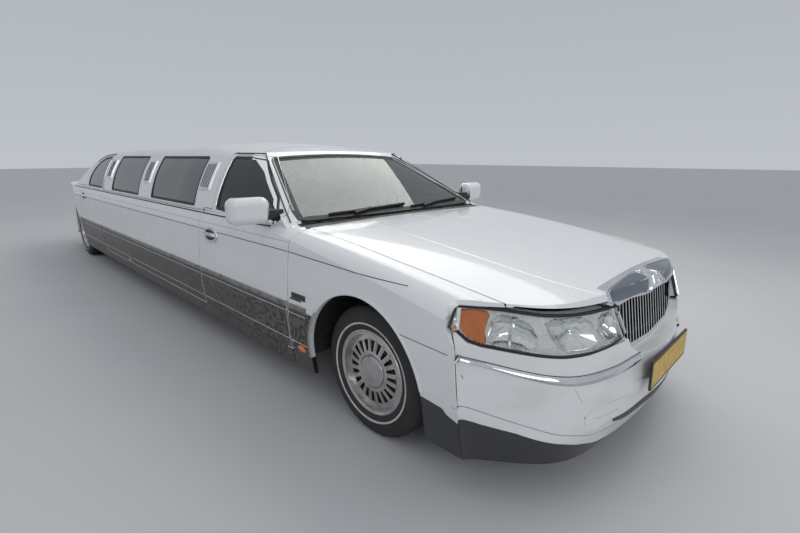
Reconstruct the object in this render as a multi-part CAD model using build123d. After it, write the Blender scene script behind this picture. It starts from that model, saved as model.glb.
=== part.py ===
"""Stretch limousine, six-window body on a lengthened full-size saloon.

Row frame in mm: +X to the nose, +Y to the car's left, +Z up, ground at Z 0,
origin under the middle of the length. Every node goes to parts/NODE.step.
"""
import math
import os

from build123d import *

# Driving dimensions
LENGTH = 8517.0
HALF = LENGTH / 2
WHEELBASE = 6038.0
FRONT_OVERHANG = 1057.0
XF = HALF - FRONT_OVERHANG          # front axle
XR = XF - WHEELBASE                 # rear axle
HUB_Z = 338.0                       # also the tyre radius
TRACK = 1612.0
KINGPIN_Y = 735.0
WELL_Y = -662.0                     # inner wall of the rear wheel housings
ARCH_F, ARCH_R = 405.0, 378.0
SILL_Z, BELT_Z, RAIL_Z = 300.0, 1003.0, 1388.0
GAP = 5.0
DOOR_T, SHELL_T, PILLAR_T, GLASS_T = 90.0, 26.0, 45.0, 5.0
PIN_R, PIN_CLEAR = 6.0, 0.06
HINGE_Y = 900.0
HINGE_BACK = 60.0                   # hinge axis behind a door's front seam
HINGE_ZS = (430.0, 800.0)

# Stations along the side, all measured back from the front axle
SEAM_F = XF - 588.0                 # front door, front seam
SEAM_F_REAR = XF - 1769.0
SEAM_R = XF - 4560.0                # rear door, front seam
SEAM_R_REAR = XF - 5560.0
BUMPER_X = XF + 505.0
HOOD_REAR = XF - 590.0
LID_FRONT = XR - 520.0
TAIL_LAMP_X = XR - 1040.0
LID_HALF = 690.0
FRAME_CUTS = (XF - 560.0, XR + 620.0, XR - 560.0)   # splices of frame and floor

# Side section of the lower body: (y, z) from sill to belt
SIDE = [(955, 190), (993, 620), (973, 868), (956, 944), (924, 1014)]

# Plan outline at each height: nose x from the front axle at y 0, 460, 750, 950,
# then tail x behind the rear axle at y 0, 460, 800, 900, 950
PLAN = [
    # z,    n0,   n460, n750, n950, t0,   t460, t800, t900, t950
    (150.0, 965, 935, 842, 610, 1372, 1300, 940, 460, 90),
    (300.0, 1032, 966, 846, 590, 1408, 1338, 965, 480, 100),
    (450.0, 1057, 968, 832, 570, 1422, 1352, 980, 485, 100),
    (660.0, 1028, 948, 808, 548, 1405, 1335, 970, 480, 100),
    (810.0, 962, 900, 748, 500, 1385, 1312, 950, 470, 95),
    (1050.0, 850, 790, 630, 400, 1340, 1262, 900, 450, 90),
]

# Crown of the lower body: x from the front axle, z at the shoulder, z at centre
CROWN = [
    (1200.0, 745, 778),
    (900.0, 786, 850),
    (550.0, 836, 905),
    (120.0, 897, 950),
    (-560.0, 970, 988),
    (-900.0, 1003, 1006),
    (-6100.0, 1003, 1010),
    (-6560.0, 988, 1022),
    (-7250.0, 965, 1006),
    (-7600.0, 940, 975),
]

# Roof rows: x from the front axle, drop of the roof centre, narrowing of the sides
ROOF = [(-300.0, 120, 62), (-1000.0, 110, 44), (-1360.0, 72, 32), (-1850.0, 14, 8), (-2400.0, 0, 0),
        (-3900.0, 0, 0), (-4800.0, 24, 4), (-5450.0, 98, 16), (-6000.0, 228, 30), (-6700.0, 370, 44)]

# Greenhouse plan at two heights: windscreen centre, corner x, corner y, side x,
# then the same for the back glass, all x from the front axle
SCREENS = [
    # z, wc, wk, wy, ws, bc, bk, by, bs
    (850.0, -383, -431, 883, -480, -6740, -6612, 876, -6240),
    (1500.0, -1573, -1621, 555, -1752, -5030, -4970, 500, -4850),
]


def poly(points):
    return make_face(Polyline(*points, close=True))


def prism_x(points, x0, x1):
    return extrude(Plane.YZ.offset(x0) * poly(points), x1 - x0)


def prism_y(points, y0, y1):
    return extrude(Plane.XZ.offset(-y1) * poly(points), y1 - y0)


def prism_z(points, z0, z1):
    return extrude(Plane.XY.offset(z0) * poly(points), z1 - z0)


def block(x0, x1, y0, y1, z0, z1):
    return Pos((x0 + x1) / 2, (y0 + y1) / 2, (z0 + z1) / 2) * Box(x1 - x0, y1 - y0, z1 - z0)


def both(shape):
    return Part() + [shape, mirror(shape, about=Plane.XZ)]


def cyl_y(x, z, radius, y0, y1):
    return Pos(x, (y0 + y1) / 2, z) * Rot(90, 0, 0) * Cylinder(radius, y1 - y0)


def cyl_x(y, z, radius, x0, x1):
    return Pos((x0 + x1) / 2, y, z) * Rot(0, 90, 0) * Cylinder(radius, x1 - x0)


def cyl_z(x, y, radius, z0, z1):
    return Pos(x, y, (z0 + z1) / 2) * Cylinder(radius, z1 - z0)


def rod(a, b, radius):
    a, b = Vector(*a), Vector(*b)
    return extrude(Plane(origin=a, z_dir=b - a) * Circle(radius), (b - a).length)


# Hulls


def side_solid(t):
    """The barrel-sided section run the whole length, inset by t."""
    p = [(y - t, z) for y, z in SIDE]
    foot = 190.0 if t == 0 else 60.0
    edges = []
    for s in (1, -1):
        q = [(s * y, z) for y, z in p]
        edges += [ThreePointArc(q[0], q[1], q[2]), ThreePointArc(q[2], q[3], q[4]),
                  Line(q[4], (s * (924 - t), 1120))]
        if t:
            edges.append(Line((q[0][0], foot), q[0]))
    edges.append(Line((p[0][0], foot), (-p[0][0], foot)))
    edges.append(Line((924 - t, 1120), (t - 924, 1120)))
    return extrude(Plane.YZ.offset(-HALF - 60) * make_face(edges), LENGTH + 120)


def plan_solid(t):
    """Nose and tail curves, lofted up through the heights of the table."""
    sections = []
    for z, n0, n1, n2, n3, t0, t1, t2, t3, t4 in PLAN:
        zz = z - (90 if z == PLAN[0][0] and t else 0)
        k = t * 0.6
        nose = [(n3 - k, 950 - k), (n2 - k - t * 0.2, 750 - k), (n1 - t, 460 - t * 0.3), (n0 - t, 0)]
        tail = [(t4, 950 - t), (t3 - t * 0.3, 900 - t), (t2 - k, 800 - t * 0.8), (t1 - t, 460 - t * 0.3),
                (t0 - t, 0)]
        w = 1000 - t
        nose = [(XF + 120, w)] + [(XF + x, y) for x, y in nose]
        tail = [(XR + 450, w)] + [(XR - x, y) for x, y in tail]
        edges = []
        for pts, d in ((nose, 1), (tail, -1)):
            full = pts + [(x, -y) for x, y in reversed(pts[:-1])]
            edges.append(Spline(*full, tangents=[(d, 0), (-d, 0)]))
        edges += [Line(nose[0], tail[0]), Line((nose[0][0], -w), (tail[0][0], -w))]
        sections.append(Plane.XY.offset(zz) * make_face(edges))
    return loft(sections, ruled=True)


def crown_solid(t):
    """Rounded shoulders and crowned top of hood, cowl and boot deck."""
    def section(x, zs, zc):
        zs, zc = zs - t, zc - t
        a, b, c = (1010 - t, zs - 150), (968 - t, zs - 52), (850 - t, zs)
        edges = [Line((-a[0], 20), (a[0], 20)), ThreePointArc((-c[0], zs), (0, zc), c)]
        for s in (1, -1):
            edges += [Line((s * a[0], 20), (s * a[0], a[1])),
                      ThreePointArc((s * a[0], a[1]), (s * b[0], b[1]), (s * c[0], c[1]))]
        return Plane.YZ.offset(XF + x) * make_face(edges)
    rows = [section(*r) for r in CROWN]
    return loft(rows[:6]) + loft(rows[5:7]) + loft(rows[6:])


def lower_hull(t):
    return side_solid(t) & plan_solid(t) & crown_solid(t)


def roof_solid(t):
    foot = 850 if t > 0 else 930

    def section(x, drop, pinch):
        p = [(934 - t - pinch * (foot > 900) * 0.3, foot), (868 - t - pinch, 1170),
             (766 - t - pinch * 0.8, 1356 - 0.35 * drop),
             (722 - t * 0.8 - pinch * 0.8, 1410 - t * 0.7 - 0.6 * drop),
             (610 - t * 0.5 - pinch * 0.6, 1446 - t - 0.85 * drop)]
        edges = [Line((-p[0][0], foot), p[0]),
                 ThreePointArc((-p[4][0], p[4][1]), (0, 1473 - t - drop), p[4])]
        for s in (1, -1):
            q = [(s * y, z) for y, z in p]
            edges += [ThreePointArc(*q[:3]), ThreePointArc(*q[2:])]
        return Plane.YZ.offset(XF + x) * make_face(edges)
    rows = [section(*r) for r in ROOF]
    return loft(rows[:5]) + loft(rows[4:6]) + loft(rows[5:])


def screen_solid(t):
    sections = []
    for z, wc, wk, wy, ws, bc, bk, by, bs in SCREENS:
        d = t * 2.0
        front = [(XF + wk - d, wy - t * 0.5), (XF + wc - d, 0)]
        rear = [(XF + bk + d, by - t * 0.5), (XF + bc + d, 0)]
        fs, rs, w = XF + ws - t, XF + bs + t, 960 - t
        edges = [Line((fs, s * w), (rs, s * w)) for s in (1, -1)]
        for pts, side in ((front, fs), (rear, rs)):
            (kx, ky), (cx, _) = pts
            edges.append(ThreePointArc((kx, ky), (cx, 0), (kx, -ky)))
            edges += [Line((kx, s * ky), (side, s * w)) for s in (1, -1)]
        sections.append(Plane.XY.offset(z) * make_face(edges))
    return loft(sections, ruled=True)


def greenhouse(t):
    return roof_solid(t) & screen_solid(t)


HULL, HULL_SHELL, HULL_DOOR = lower_hull(0), lower_hull(SHELL_T), lower_hull(DOOR_T)
ROOM, ROOM_IN = greenhouse(0), greenhouse(PILLAR_T)
PANE_FACE = greenhouse(4.0)
PANES = PANE_FACE - greenhouse(4.0 + GLASS_T)
SHELL = HULL - HULL_SHELL
WALL = (HULL + ROOM) - HULL_DOOR - ROOM_IN
CABIN = HULL_DOOR + ROOM_IN
PILLARS = ROOM - ROOM_IN
RIGHT = block(-HALF - 50, HALF + 50, -1200, 0, 0, 1600)

# Door outlines, x from the front axle
DOORS = {
    # seam, rear seam, frame rear, frame outline, window outline
    "front": (-588, -1769, -1661,
              [(-1700, 985), (-1700, 1388), (-1400, 1388), (-720, 1003), (-712, 985)],
              [(-1594, 1014), (-1594, 1354), (-1404, 1354), (-1330, 1334), (-1240, 1281), (-1110, 1206),
               (-945, 1113), (-790, 1014)]),
    "rear": (-4560, -5560, -5460,
             [(-5440, 985), (-5420, 1130), (-5345, 1235), (-5190, 1325), (-4960, 1372), (-4600, 1388),
              (-4600, 985)],
             [(-5330, 1014), (-5312, 1110), (-5245, 1200), (-5110, 1284), (-4920, 1334), (-4652, 1352),
              (-4652, 1014)]),
}
SIDE_WINDOWS = [(-1972, -2933), (-3322, -4222)]
LOUVRES = [-1850, -3127, -4420]
FLANGE = [(968, 295), (993, 610), (973, 868), (932, 1006)]


def at_axle(points):
    return [(XF + x, z) for x, z in points]


def flange(axis, grow):
    """What a door's front edge sweeps as it turns about its hinge axis."""
    rz = [(math.hypot(HINGE_BACK, y - HINGE_Y) + grow, z) for y, z in FLANGE]
    low, high = rz[0][1] - grow, rz[-1][1] + grow
    rz[0], rz[-1] = (rz[0][0], low), (rz[-1][0], high)
    face = make_face([Spline(*rz), Polyline(rz[-1], (0, high), (0, low), rz[0])])
    return Pos(axis, -HINGE_Y, 0) * revolve(Plane.XZ * face, Axis.Z)


def door_region(name, grow):
    seam, rear, frame_rear, frame, _ = DOORS[name]
    axis = XF + seam - HINGE_BACK
    reach = math.hypot(axis - XF - rear, 93) + grow
    low = block(axis - 1300, axis, -1100, -836 + grow, SILL_Z - grow, BELT_Z + grow)
    low &= cyl_z(axis, -HINGE_Y, reach, 200, 1100)
    outline = offset(poly(at_axle(frame)), grow, kind=Kind.INTERSECTION) if grow else poly(at_axle(frame))
    top = extrude(Plane.XZ.offset(500) * outline, 600)
    top &= prism_x([(-1100, 900), (-820, 900), (-690, 1400), (-1100, 1400)], -HALF, HALF)
    top &= cyl_z(axis, -HINGE_Y, axis - XF - frame_rear + grow, 900, 1500)
    return low + top, flange(axis, grow), axis


def window(points):
    side = prism_x([(-1100, 950), (-830, 950), (-690, 1400), (-1100, 1400)], -HALF, HALF)
    return prism_y(at_axle(points), -1100, -500) & side


def hinge(axis, inboard):
    """Two pins on a post of the body, and the door's knuckles round them."""
    lugs, knuckles, pockets = Part(), Part(), Part()
    for z in HINGE_ZS:
        pocket = block(axis - 42, axis + 75, -962, -820, z - 46, z + 46)
        pockets += pocket & block(axis - 42, axis + 75, -958, -820, 0, 1100)
        pin = cyl_z(axis, -HINGE_Y, PIN_R, z - 38, z + 38)
        for a, b in ((z - 38, z - 24), (z + 24, z + 38)):
            pin += cyl_z(axis, -HINGE_Y, 12, a, b) + block(axis - 12, axis + 12, -HINGE_Y, inboard, a, b)
        lugs += pin
        knuckle = cyl_z(axis, -HINGE_Y, 12, z - 22, z + 22)
        knuckle += block(axis - 60, axis, -HINGE_Y - 12, -HINGE_Y + 2, z - 22, z + 22)
        knuckle -= cyl_z(axis, -HINGE_Y, PIN_R + PIN_CLEAR, z - 60, z + 60)
        knuckles += knuckle
    return lugs, knuckles, pockets


PARTS = {}
BODY_CUT = Part()
POSTS = {}
for name in DOORS:
    seam, rear, frame_rear, frame, pane = DOORS[name]
    region, front, axis = door_region(name, 0)
    wide, wide_front, _ = door_region(name, GAP)
    lugs, knuckles, pockets = hinge(axis, -800)
    ahead = block(axis - 0.01, axis + 400, -1100, -500, 200, 1500)
    thick = (WALL & region) - ahead - window(pane)
    thin = SHELL & front & ahead & RIGHT
    door = (thick + thin) - pockets + knuckles
    glass = PANES & window(pane)
    BODY_CUT += wide + wide_front
    POSTS[name] = lugs
    for side, turn in (("right", None), ("left", Plane.XZ)):
        PARTS[f"{name}_door_{side}"] = mirror(door, about=turn) if turn else door
        PARTS[f"{name}_glass_{side}"] = mirror(glass, about=turn) if turn else glass
BODY_CUT = both(BODY_CUT)

# Openings and regions of the nose and tail
LAMP = at_axle([(515, 765), (520, 806), (543, 810), (690, 813), (860, 802), (1100, 792), (1100, 640),
                (955, 632),
                (914, 623), (862, 624), (798, 633), (709, 646), (615, 659), (571, 672), (537, 708)])
BUMPER = at_axle([(150, 150), (240, 646), (552, 634), (552, 702), (1100, 702), (1100, 150)])
U_SHAPE = [(-378, 790), (-368, 672), (-335, 600), (-270, 560), (0, 540), (270, 560), (335, 600),
           (368, 672), (378, 790)]
HEADER = [(-440, 790), (440, 790), (405, 880), (-405, 880)]


def u_prism(inset, x0, x1):
    face = poly(U_SHAPE)
    face = offset(face, -inset, kind=Kind.INTERSECTION) if inset else face
    return extrude(Plane.YZ.offset(XF + x0) * face, x1 - x0)


lamp_zone = both(prism_y(LAMP, -1100, -378))
header_zone = prism_x(HEADER, XF + 850, XF + 1100)
arch_f = both(cyl_y(XF, HUB_Z, ARCH_F, -1100, -500)) \
    + both(block(XF - ARCH_F, XF + ARCH_F, -1100, -500, 0, HUB_Z))
arch_r = both(cyl_y(XR, HUB_Z, ARCH_R, -1100, -500)) \
    + both(block(XR - ARCH_R, XR + ARCH_R, -1100, -500, 0, HUB_Z))
hood_axis = (XF - 550, 945.0)
hood_outline = [(HOOD_REAR - 40, 812), (XF + 120, 822), (XF + 690, 806), (XF + 730, 1010), (XF + 1100, 1010)]


def hood_zone(grow):
    pts = [(x, y + grow) for x, y in hood_outline]
    plan = prism_z(pts + [(x, -y) for x, y in reversed(pts)], 700, 1100)
    g = grow
    above = at_axle([(-640, 700), (690, 700), (690, 818 - g), (860, 807 - g), (1100, 797 - g),
                     (1100, 1200), (-640, 1200)])
    ahead = block(hood_axis[0], XF + 1200, -1100, 1100, 600, 1200)
    ahead += cyl_y(*hood_axis, 57 + grow, -1100, 1100)
    return plan & prism_y(above, -1100, 1100) & ahead


hood_cut = hood_zone(GAP)
PARTS["hood"] = (SHELL & hood_zone(0)) - header_zone - lamp_zone
nose = HULL & block(XF + 400, HALF + 50, -1100, 1100, 100, 900)
PARTS["grille_header"] = (HULL & header_zone) - block(XF + 800, XF + 875, -600, 600, 700, 835)
PARTS["headlamps"] = (((HULL - HULL_DOOR) & lamp_zone) - header_zone) - prism_x(
    [(-378, 600), (378, 600), (378, 900), (-378, 900)], XF + 700, XF + 1100)
tunnel = (nose & (
    extrude(Plane.YZ.offset(XF + 890) * offset(poly(U_SHAPE), 24, kind=Kind.INTERSECTION), 210)
    - u_prism(0, 800, 1200))) - block(XF + 800, XF + 1100, -600, 600, 664, 900)
PARTS["front_bumper"] = ((SHELL & prism_y(BUMPER, -1100, 1100)) - u_prism(0, 800, 1100) - arch_f + tunnel) \
    - lamp_zone \
    - block(XF + 700, XF + 1100, -378, 378, 640, 900)
lean = prism_y(at_axle([(918, 800), (962, 520), (928, 520), (884, 800)]), -400, 400)
bars = Part() + [block(XF + 870, XF + 1000, y - 4.5, y + 4.5, 500, 800) for y in range(-342, 343, 36)]
PARTS["grille"] = (lean & (u_prism(0, 860, 1000) - u_prism(20, 860, 1000))) + (lean & bars
    & u_prism(10, 860, 1000))
bumper_cut = prism_y(BUMPER, -1100, 1100)
PARTS["front_fenders"] = (SHELL & block(XF - 588, XF + 740, -1100, 1100, 200, 1100)) - bumper_cut \
    - lamp_zone \
    - hood_cut - BODY_CUT - arch_f - block(XF - 700, XF + 900, -760, 760, 0, 1200)

# Cowl, firewall and hinge posts
cowl = ((HULL - HULL_SHELL) & block(XF - 800, XF - 588, -905, 905, 930, 1100)) - ROOM - BODY_CUT
cowl -= cyl_y(*hood_axis, 57 + GAP, -1100, 1100)
wall = block(XF - 640, XF - 622, -790, 790, 288, 958)
posts = both(block(XF - 738, XF - 622, -825, -770, 288, 900) + POSTS["front"])
hood_pins = Part()
for y in (-620, 620):
    for y0 in (y - 30, y + 22):
        hood_pins += prism_y([(XF - 560, 955), (XF - 538, 955), (XF - 538, 840), (XF - 630, 840),
                              (XF - 630, 872),
                              (XF - 560, 872)], y0, y0 + 8)
    hood_pins += cyl_y(*hood_axis, PIN_R, y - 30, y + 30)
    PARTS["hood"] += cyl_y(*hood_axis, 12, y - 20, y + 20) + block(XF - 550, XF - 500, y - 20, y + 20,
        940, 966)
    PARTS["hood"] -= cyl_y(*hood_axis, PIN_R + PIN_CLEAR, y - 60, y + 60)
    PARTS["hood"] -= both(block(XF - 575, XF - 520, 586, 600, 900, 966)
                          + block(XF - 575, XF - 520, 640, 654, 900, 966))
PARTS["cowl"] = cowl + wall + posts + hood_pins

# Roof, side panels and quarters
side_zone = both(block(XF - 4660, XF - 1600, -1100, -500, SILL_Z - 5, RAIL_Z))
openings = Part() + [prism_y(at_axle([(a, 1014), (a, 1354), (b, 1354), (b, 1014)]), -1100, -500) for a,
                     b in SIDE_WINDOWS]
openings = both(openings)
screen_f = extrude(Plane.YZ.offset(XF - 1500) * make_face([
    ThreePointArc((-815, 1000), (0, 1000.5), (815, 1000)), Line((815, 1000), (590, 1352)),
    ThreePointArc((590, 1352), (0, 1376), (-590, 1352)), Line((-590, 1352), (-815, 1000))]), 1100)
screen_r = extrude(Plane.YZ.offset(XF - 6700) * make_face([
    ThreePointArc((-735, 1045), (0, 1042), (735, 1045)), Line((735, 1045), (575, 1310)),
    ThreePointArc((575, 1310), (0, 1332), (-575, 1310)), Line((-575, 1310), (-735, 1045))]), 1350)
rear_upper = both(block(XF - 7000, XF - 4660, -1100, -560, 900, RAIL_Z - 28)) + block(XF - 7000, XF
    - 5950, -1100, 1100, 900, 1200)
above_belt = block(-HALF, HALF, -1100, 1100, BELT_Z, 1600)
PARTS["roof"] = (PILLARS & above_belt) - side_zone - rear_upper - BODY_CUT - screen_f - screen_r
PARTS["body_sides"] = (WALL & side_zone) - BODY_CUT - openings + both(
    block(XF - 4700, XF - 4440, -825, -770, 288, 900) + block(XF - 4490, XF - 4440, -912, -770, 320, 900)
    + POSTS["rear"])
PARTS["windscreen"] = (PANES & screen_f) - BODY_CUT
PARTS["rear_window"] = PANES & screen_r
PARTS["side_windows"] = PANES & openings

lid_axis = (LID_FRONT - 42, 972.0)
tail_zone = both(block(-HALF - 20, TAIL_LAMP_X, -1100, -470, 625, 865))
bumper_r_zone = block(-HALF - 20, XR - 700, -1100, 1100, 100, 600)


def lid_zone(grow):
    g = grow
    top = block(-HALF - 30, LID_FRONT + 20, -LID_HALF - g, LID_HALF + g, 872 - g, 1200)
    back = block(-HALF - 30, XR - 1250, -465 - g, 465 + g, 615 - g, 900)
    front = block(-HALF - 30, lid_axis[0], -1100, 1100, 500, 1200) + cyl_y(*lid_axis, 62 + g, -1100, 1100)
    return (top + back) & front


PARTS["trunk_lid"] = SHELL & lid_zone(0)
lid_pins = Part()
for y in (-620, 620):
    for y0 in (y - 30, y + 22):
        lid_pins += prism_y([(lid_axis[0] + 10, 982), (lid_axis[0] - 12, 982), (lid_axis[0] - 12, 860),
                             (LID_FRONT + 70, 860), (LID_FRONT + 70, 892), (lid_axis[0] + 10, 892)], y0,
                            y0 + 8)
    lid_pins += cyl_y(*lid_axis, PIN_R, y - 30, y + 30)
    PARTS["trunk_lid"] += cyl_y(*lid_axis, 12, y - 20, y + 20) + block(lid_axis[0] - 50, lid_axis[0], y
        - 20, y + 20, 964, 992)
    PARTS["trunk_lid"] -= cyl_y(*lid_axis, PIN_R + PIN_CLEAR, y - 60, y + 60)
    PARTS["trunk_lid"] -= both(block(lid_axis[0] - 30, lid_axis[0] + 25, 586, 600, 900, 992)
                               + block(lid_axis[0] - 30, lid_axis[0] + 25, 640, 654, 900, 992))
deck = (HULL - HULL_SHELL - ROOM_IN) & block(-HALF - 50, XF - 4700, -1100, 1100, 200, 1100)
quarters = (deck + (PILLARS & rear_upper & above_belt)) - BODY_CUT - lid_zone(GAP) - tail_zone \
    - bumper_r_zone - arch_r - screen_r
quarters -= block(XF - 5570, XF - 4600, -1100, 1100, 0, BELT_Z)
quarters -= block(-HALF, SEAM_R_REAR + 20, -1100, 1100, 0, SILL_Z - 4)
shelf = block(LID_FRONT + 62, LID_FRONT + 86, -800, 800, 520, 990) & HULL_SHELL
PARTS["rear_quarters"] = quarters + shelf + lid_pins
PARTS["rear_bumper"] = (SHELL & bumper_r_zone) - arch_r - lid_zone(GAP) - block(-HALF - 20, XR - 600,
    -1100, 1100, 0, 232)
PARTS["tail_lamps"] = (HULL - HULL_DOOR) & tail_zone
sills = (HULL & both(block(XR + ARCH_R, XF - 593, -1100, -852, 205, SILL_Z - 5))) - arch_r
PARTS["sill_panels"] = sills
louvres = Part()
for x in LOUVRES:
    zone = block(XF + x - 78, XF + x + 78, -1100, -500, 1130, 1325)
    louvres += (greenhouse(-9) - ROOM) & zone
PARTS["pillar_louvres"] = both(louvres)

# Floor, frame, running gear
RAIL = [(XF + 900, 330), (XF - 420, 330), (XF - 560, 262), (XR + 620, 262), (XR + 360, 500), (XR - 330, 500),
        (XR - 560, 400), (XR - 1290, 400), (XR - 1290, 320), (XR - 560, 320), (XR - 330, 420),
        (XR + 330, 420),
        (XR + 560, 182), (XF - 560, 182), (XF - 420, 240), (XF + 900, 240)]
frame = both(prism_y(RAIL, -470, -400))
for x, z0, z1 in ((XF + 860, 240, 330), (XF - 100, 170, 236), (XF - 1500, 158, 256), (XR + 1500, 158, 256),
                  (XR + 720, 158, 256), (XR - 1270, 322, 396)):
    frame += block(x - 30, x + 30, -410, 410, z0, z1)
frame -= cyl_x(0, 222, 38, XR, XF - 600) + both(cyl_x(-250, 224, 35, XR, XF - 600))
frame += both(block(XF - 120, XF + 120, -520, -460, 240, 500))
frame += both(block(XF - 130, XF - 70, -465, -405, 170, 250))
for x in (XF - 1500, XF - 2600, XF - 3700, XR + 1500):
    frame += both(block(x - 34, x + 34, -852, -460, 205, 262))


def spliced(shape):
    """The frame and the floor are welded up from sections that meet at these stations."""
    ends = [HALF + 50, *FRAME_CUTS, -HALF - 50]
    return Compound([solid for a, b in zip(ends, ends[1:]) for solid in (shape
        & block(b, a, -1200, 1200, 0, 1600)).solids()])


PARTS["chassis_frame"] = spliced(frame)
FLOOR = [(XF - 622, 262), (XR + 620, 262), (XR + 360, 500), (XR - 330, 500), (XR - 560, 400),
         (XR - 1380, 400),
         (XR - 1380, 420), (XR - 566, 420), (XR - 336, 520), (XR + 350, 520), (XR + 610, 288),
         (XF - 622, 288)]
wells = both(cyl_y(XR, HUB_Z, 406, -1000, WELL_Y))
floor = prism_y(FLOOR, -852, 852) & lower_hull(40)
PARTS["floor_pan"] = spliced(floor - wells)


def liner(x, radius, inner):
    tub = cyl_y(x, HUB_Z, radius + 6, -1000, inner) - cyl_y(x, HUB_Z, radius, -1000, inner - 6)
    return both((tub - block(x - 600, x + 600, -1100, 0, -200, SILL_Z)) & HULL_SHELL)


arm_gap = both(block(XF - 150, XF + 150, -540, -440, 150, 520))
PARTS["wheel_liners"] = (liner(XF, 440, -522) - arm_gap - BODY_CUT) + (liner(XR, 400, WELL_Y)
    - cyl_y(XR, HUB_Z, 60, -900, 900))
PARTS["wheel_liners"] -= PARTS["rear_quarters"]


def turned(profile, x, y, side):
    """Revolve (radius, offset) round the axle at x; offset grows outboard of y."""
    pts = [(r, side * (y + o)) for r, o in profile]
    face = Plane.XY * poly(pts)
    return Pos(x, 0, HUB_Z) * revolve(face, Axis.Y)


TYRE = [(204, -96), (214, -96), (222, -105), (262, -115), (300, -108), (322, -98), (334, -84), (338, -60),
        (338, 60),
        (334, 84), (322, 98), (300, 108), (262, 115), (222, 105), (214, 96), (204, 96)]
BARREL = [(182, -103), (214, -103), (214, -96), (204, -96), (204, 96), (214, 96), (214, 103), (196, 103),
          (190, 78),
          (172, 82), (100, 90), (92, 84), (62, 84), (62, 88), (21, 88), (21, -34), (140, -34), (140, -20),
          (60, -20),
          (60, 60), (168, 60), (190, 54), (190, -94)]
SLOTS, SLOT_R0, SLOT_R1 = 20, 105, 163


def wheel(x, side):
    tyre = turned(TYRE, x, TRACK / 2, side)
    rim = turned(BARREL, x, TRACK / 2, side)
    slot = extrude(Plane.XY * poly([(SLOT_R0, -6.5), (SLOT_R1, -14), (SLOT_R1, 14), (SLOT_R0, 6.5)]), 80,
                   both=True)
    cut = Part()
    for i in range(SLOTS):
        cut += Rot(0, 0, i * 360 / SLOTS) * slot
    cut = Pos(x, side * (TRACK / 2 + 90), HUB_Z) * Rot(90, 0, 0) * cut
    cut &= cyl_y(x, HUB_Z, 190, side * TRACK / 2 - 400, side * TRACK / 2 + 400)
    keep = block(x - 400, x + 400, *sorted((side * (TRACK / 2 + 40), side * (TRACK / 2 + 200))), 0, 700)
    return tyre, rim - (cut & keep)


for where, x in (("front", XF), ("rear", XR)):
    for hand, side in (("right", -1), ("left", 1)):
        tyre, rim = wheel(x, side)
        PARTS[f"tyre_{where}_{hand}"] = tyre
        PARTS[f"rim_{where}_{hand}"] = rim

SPINDLE, BALL_R = 21.0 - PIN_CLEAR, 10.0
knuckle = block(XF - 22, XF + 22, -753, -717, 208, 468) + cyl_z(XF, -KINGPIN_Y, BALL_R, 174, 502)
knuckle += cyl_y(XF, HUB_Z, SPINDLE, -TRACK / 2 - 86, -750)
PARTS["knuckle_right"] = knuckle
PARTS["knuckle_left"] = mirror(knuckle, about=Plane.XZ)
arms = Part()
for z0, z1, inner in ((176, 204, -440), (472, 500, -500)):
    arm = cyl_z(XF, -KINGPIN_Y, 24, z0, z1)
    arm += prism_z([(XF - 24, -KINGPIN_Y), (XF + 24, -KINGPIN_Y), (XF + 24, -620), (XF + 110, inner),
                    (XF - 110, inner),
                    (XF - 24, -620)], z0, z1)
    arms += arm - cyl_z(XF, -KINGPIN_Y, BALL_R + PIN_CLEAR, z0 - 5, z1 + 5)
arms += block(XF - 110, XF + 110, -500, -440, 176, 240)
arms += cyl_z(XF, -560, 45, 204, 472)
PARTS["front_suspension"] = both(arms) - frame
axle = cyl_y(XR, HUB_Z, 42, -735, 735) + cyl_y(XR, HUB_Z, SPINDLE, -TRACK / 2 - 86, TRACK / 2 + 86)
axle += Pos(XR, 0, HUB_Z) * Sphere(120)
axle += both(cyl_z(XR, -435, 50, HUB_Z, 420))
axle += rod((XR + 90, 0, 318), (XR + 600, 0, 222), 30) + cyl_x(0, 222, 30, XR + 585, XF - 950)
PARTS["rear_axle"] = axle
engine = block(XF - 560, XF + 480, -262, 262, 245, 760) + block(XF - 950, XF - 560, -110, 110, 190, 258)
engine += both(block(XF - 60, XF + 60, -400, -260, 280, 328))
PARTS["engine"] = engine - frame
PARTS["radiator"] = block(XF + 640, XF + 710, -420, 420, 330, 760)
pipe = Part()
ROUTE = [(XF - 480, -250, 225), (XR + 690, -250, 222), (XR + 560, -250, 205), (XR + 240, -300, 430),
         (XR - 330, -300, 440),
         (XR - 590, -330, 340), (XR - 1370, -330, 196)]
for a, b in zip(ROUTE, ROUTE[1:]):
    pipe += rod(a, b, 24)
    pipe += Pos(*b) * Sphere(24)
pipe += block(XR + 800, XR + 1400, -340, -180, 188, 256)
for x in (XF - 1200, XF - 3000, XR + 1100):
    pipe += block(x - 15, x + 15, -262, -238, 240, 262)
PARTS["exhaust"] = both(pipe) - PARTS["engine"] - frame
PARTS["fuel_tank"] = block(XR - 1150, XR - 600, -270, 270, 262, 400)

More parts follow.
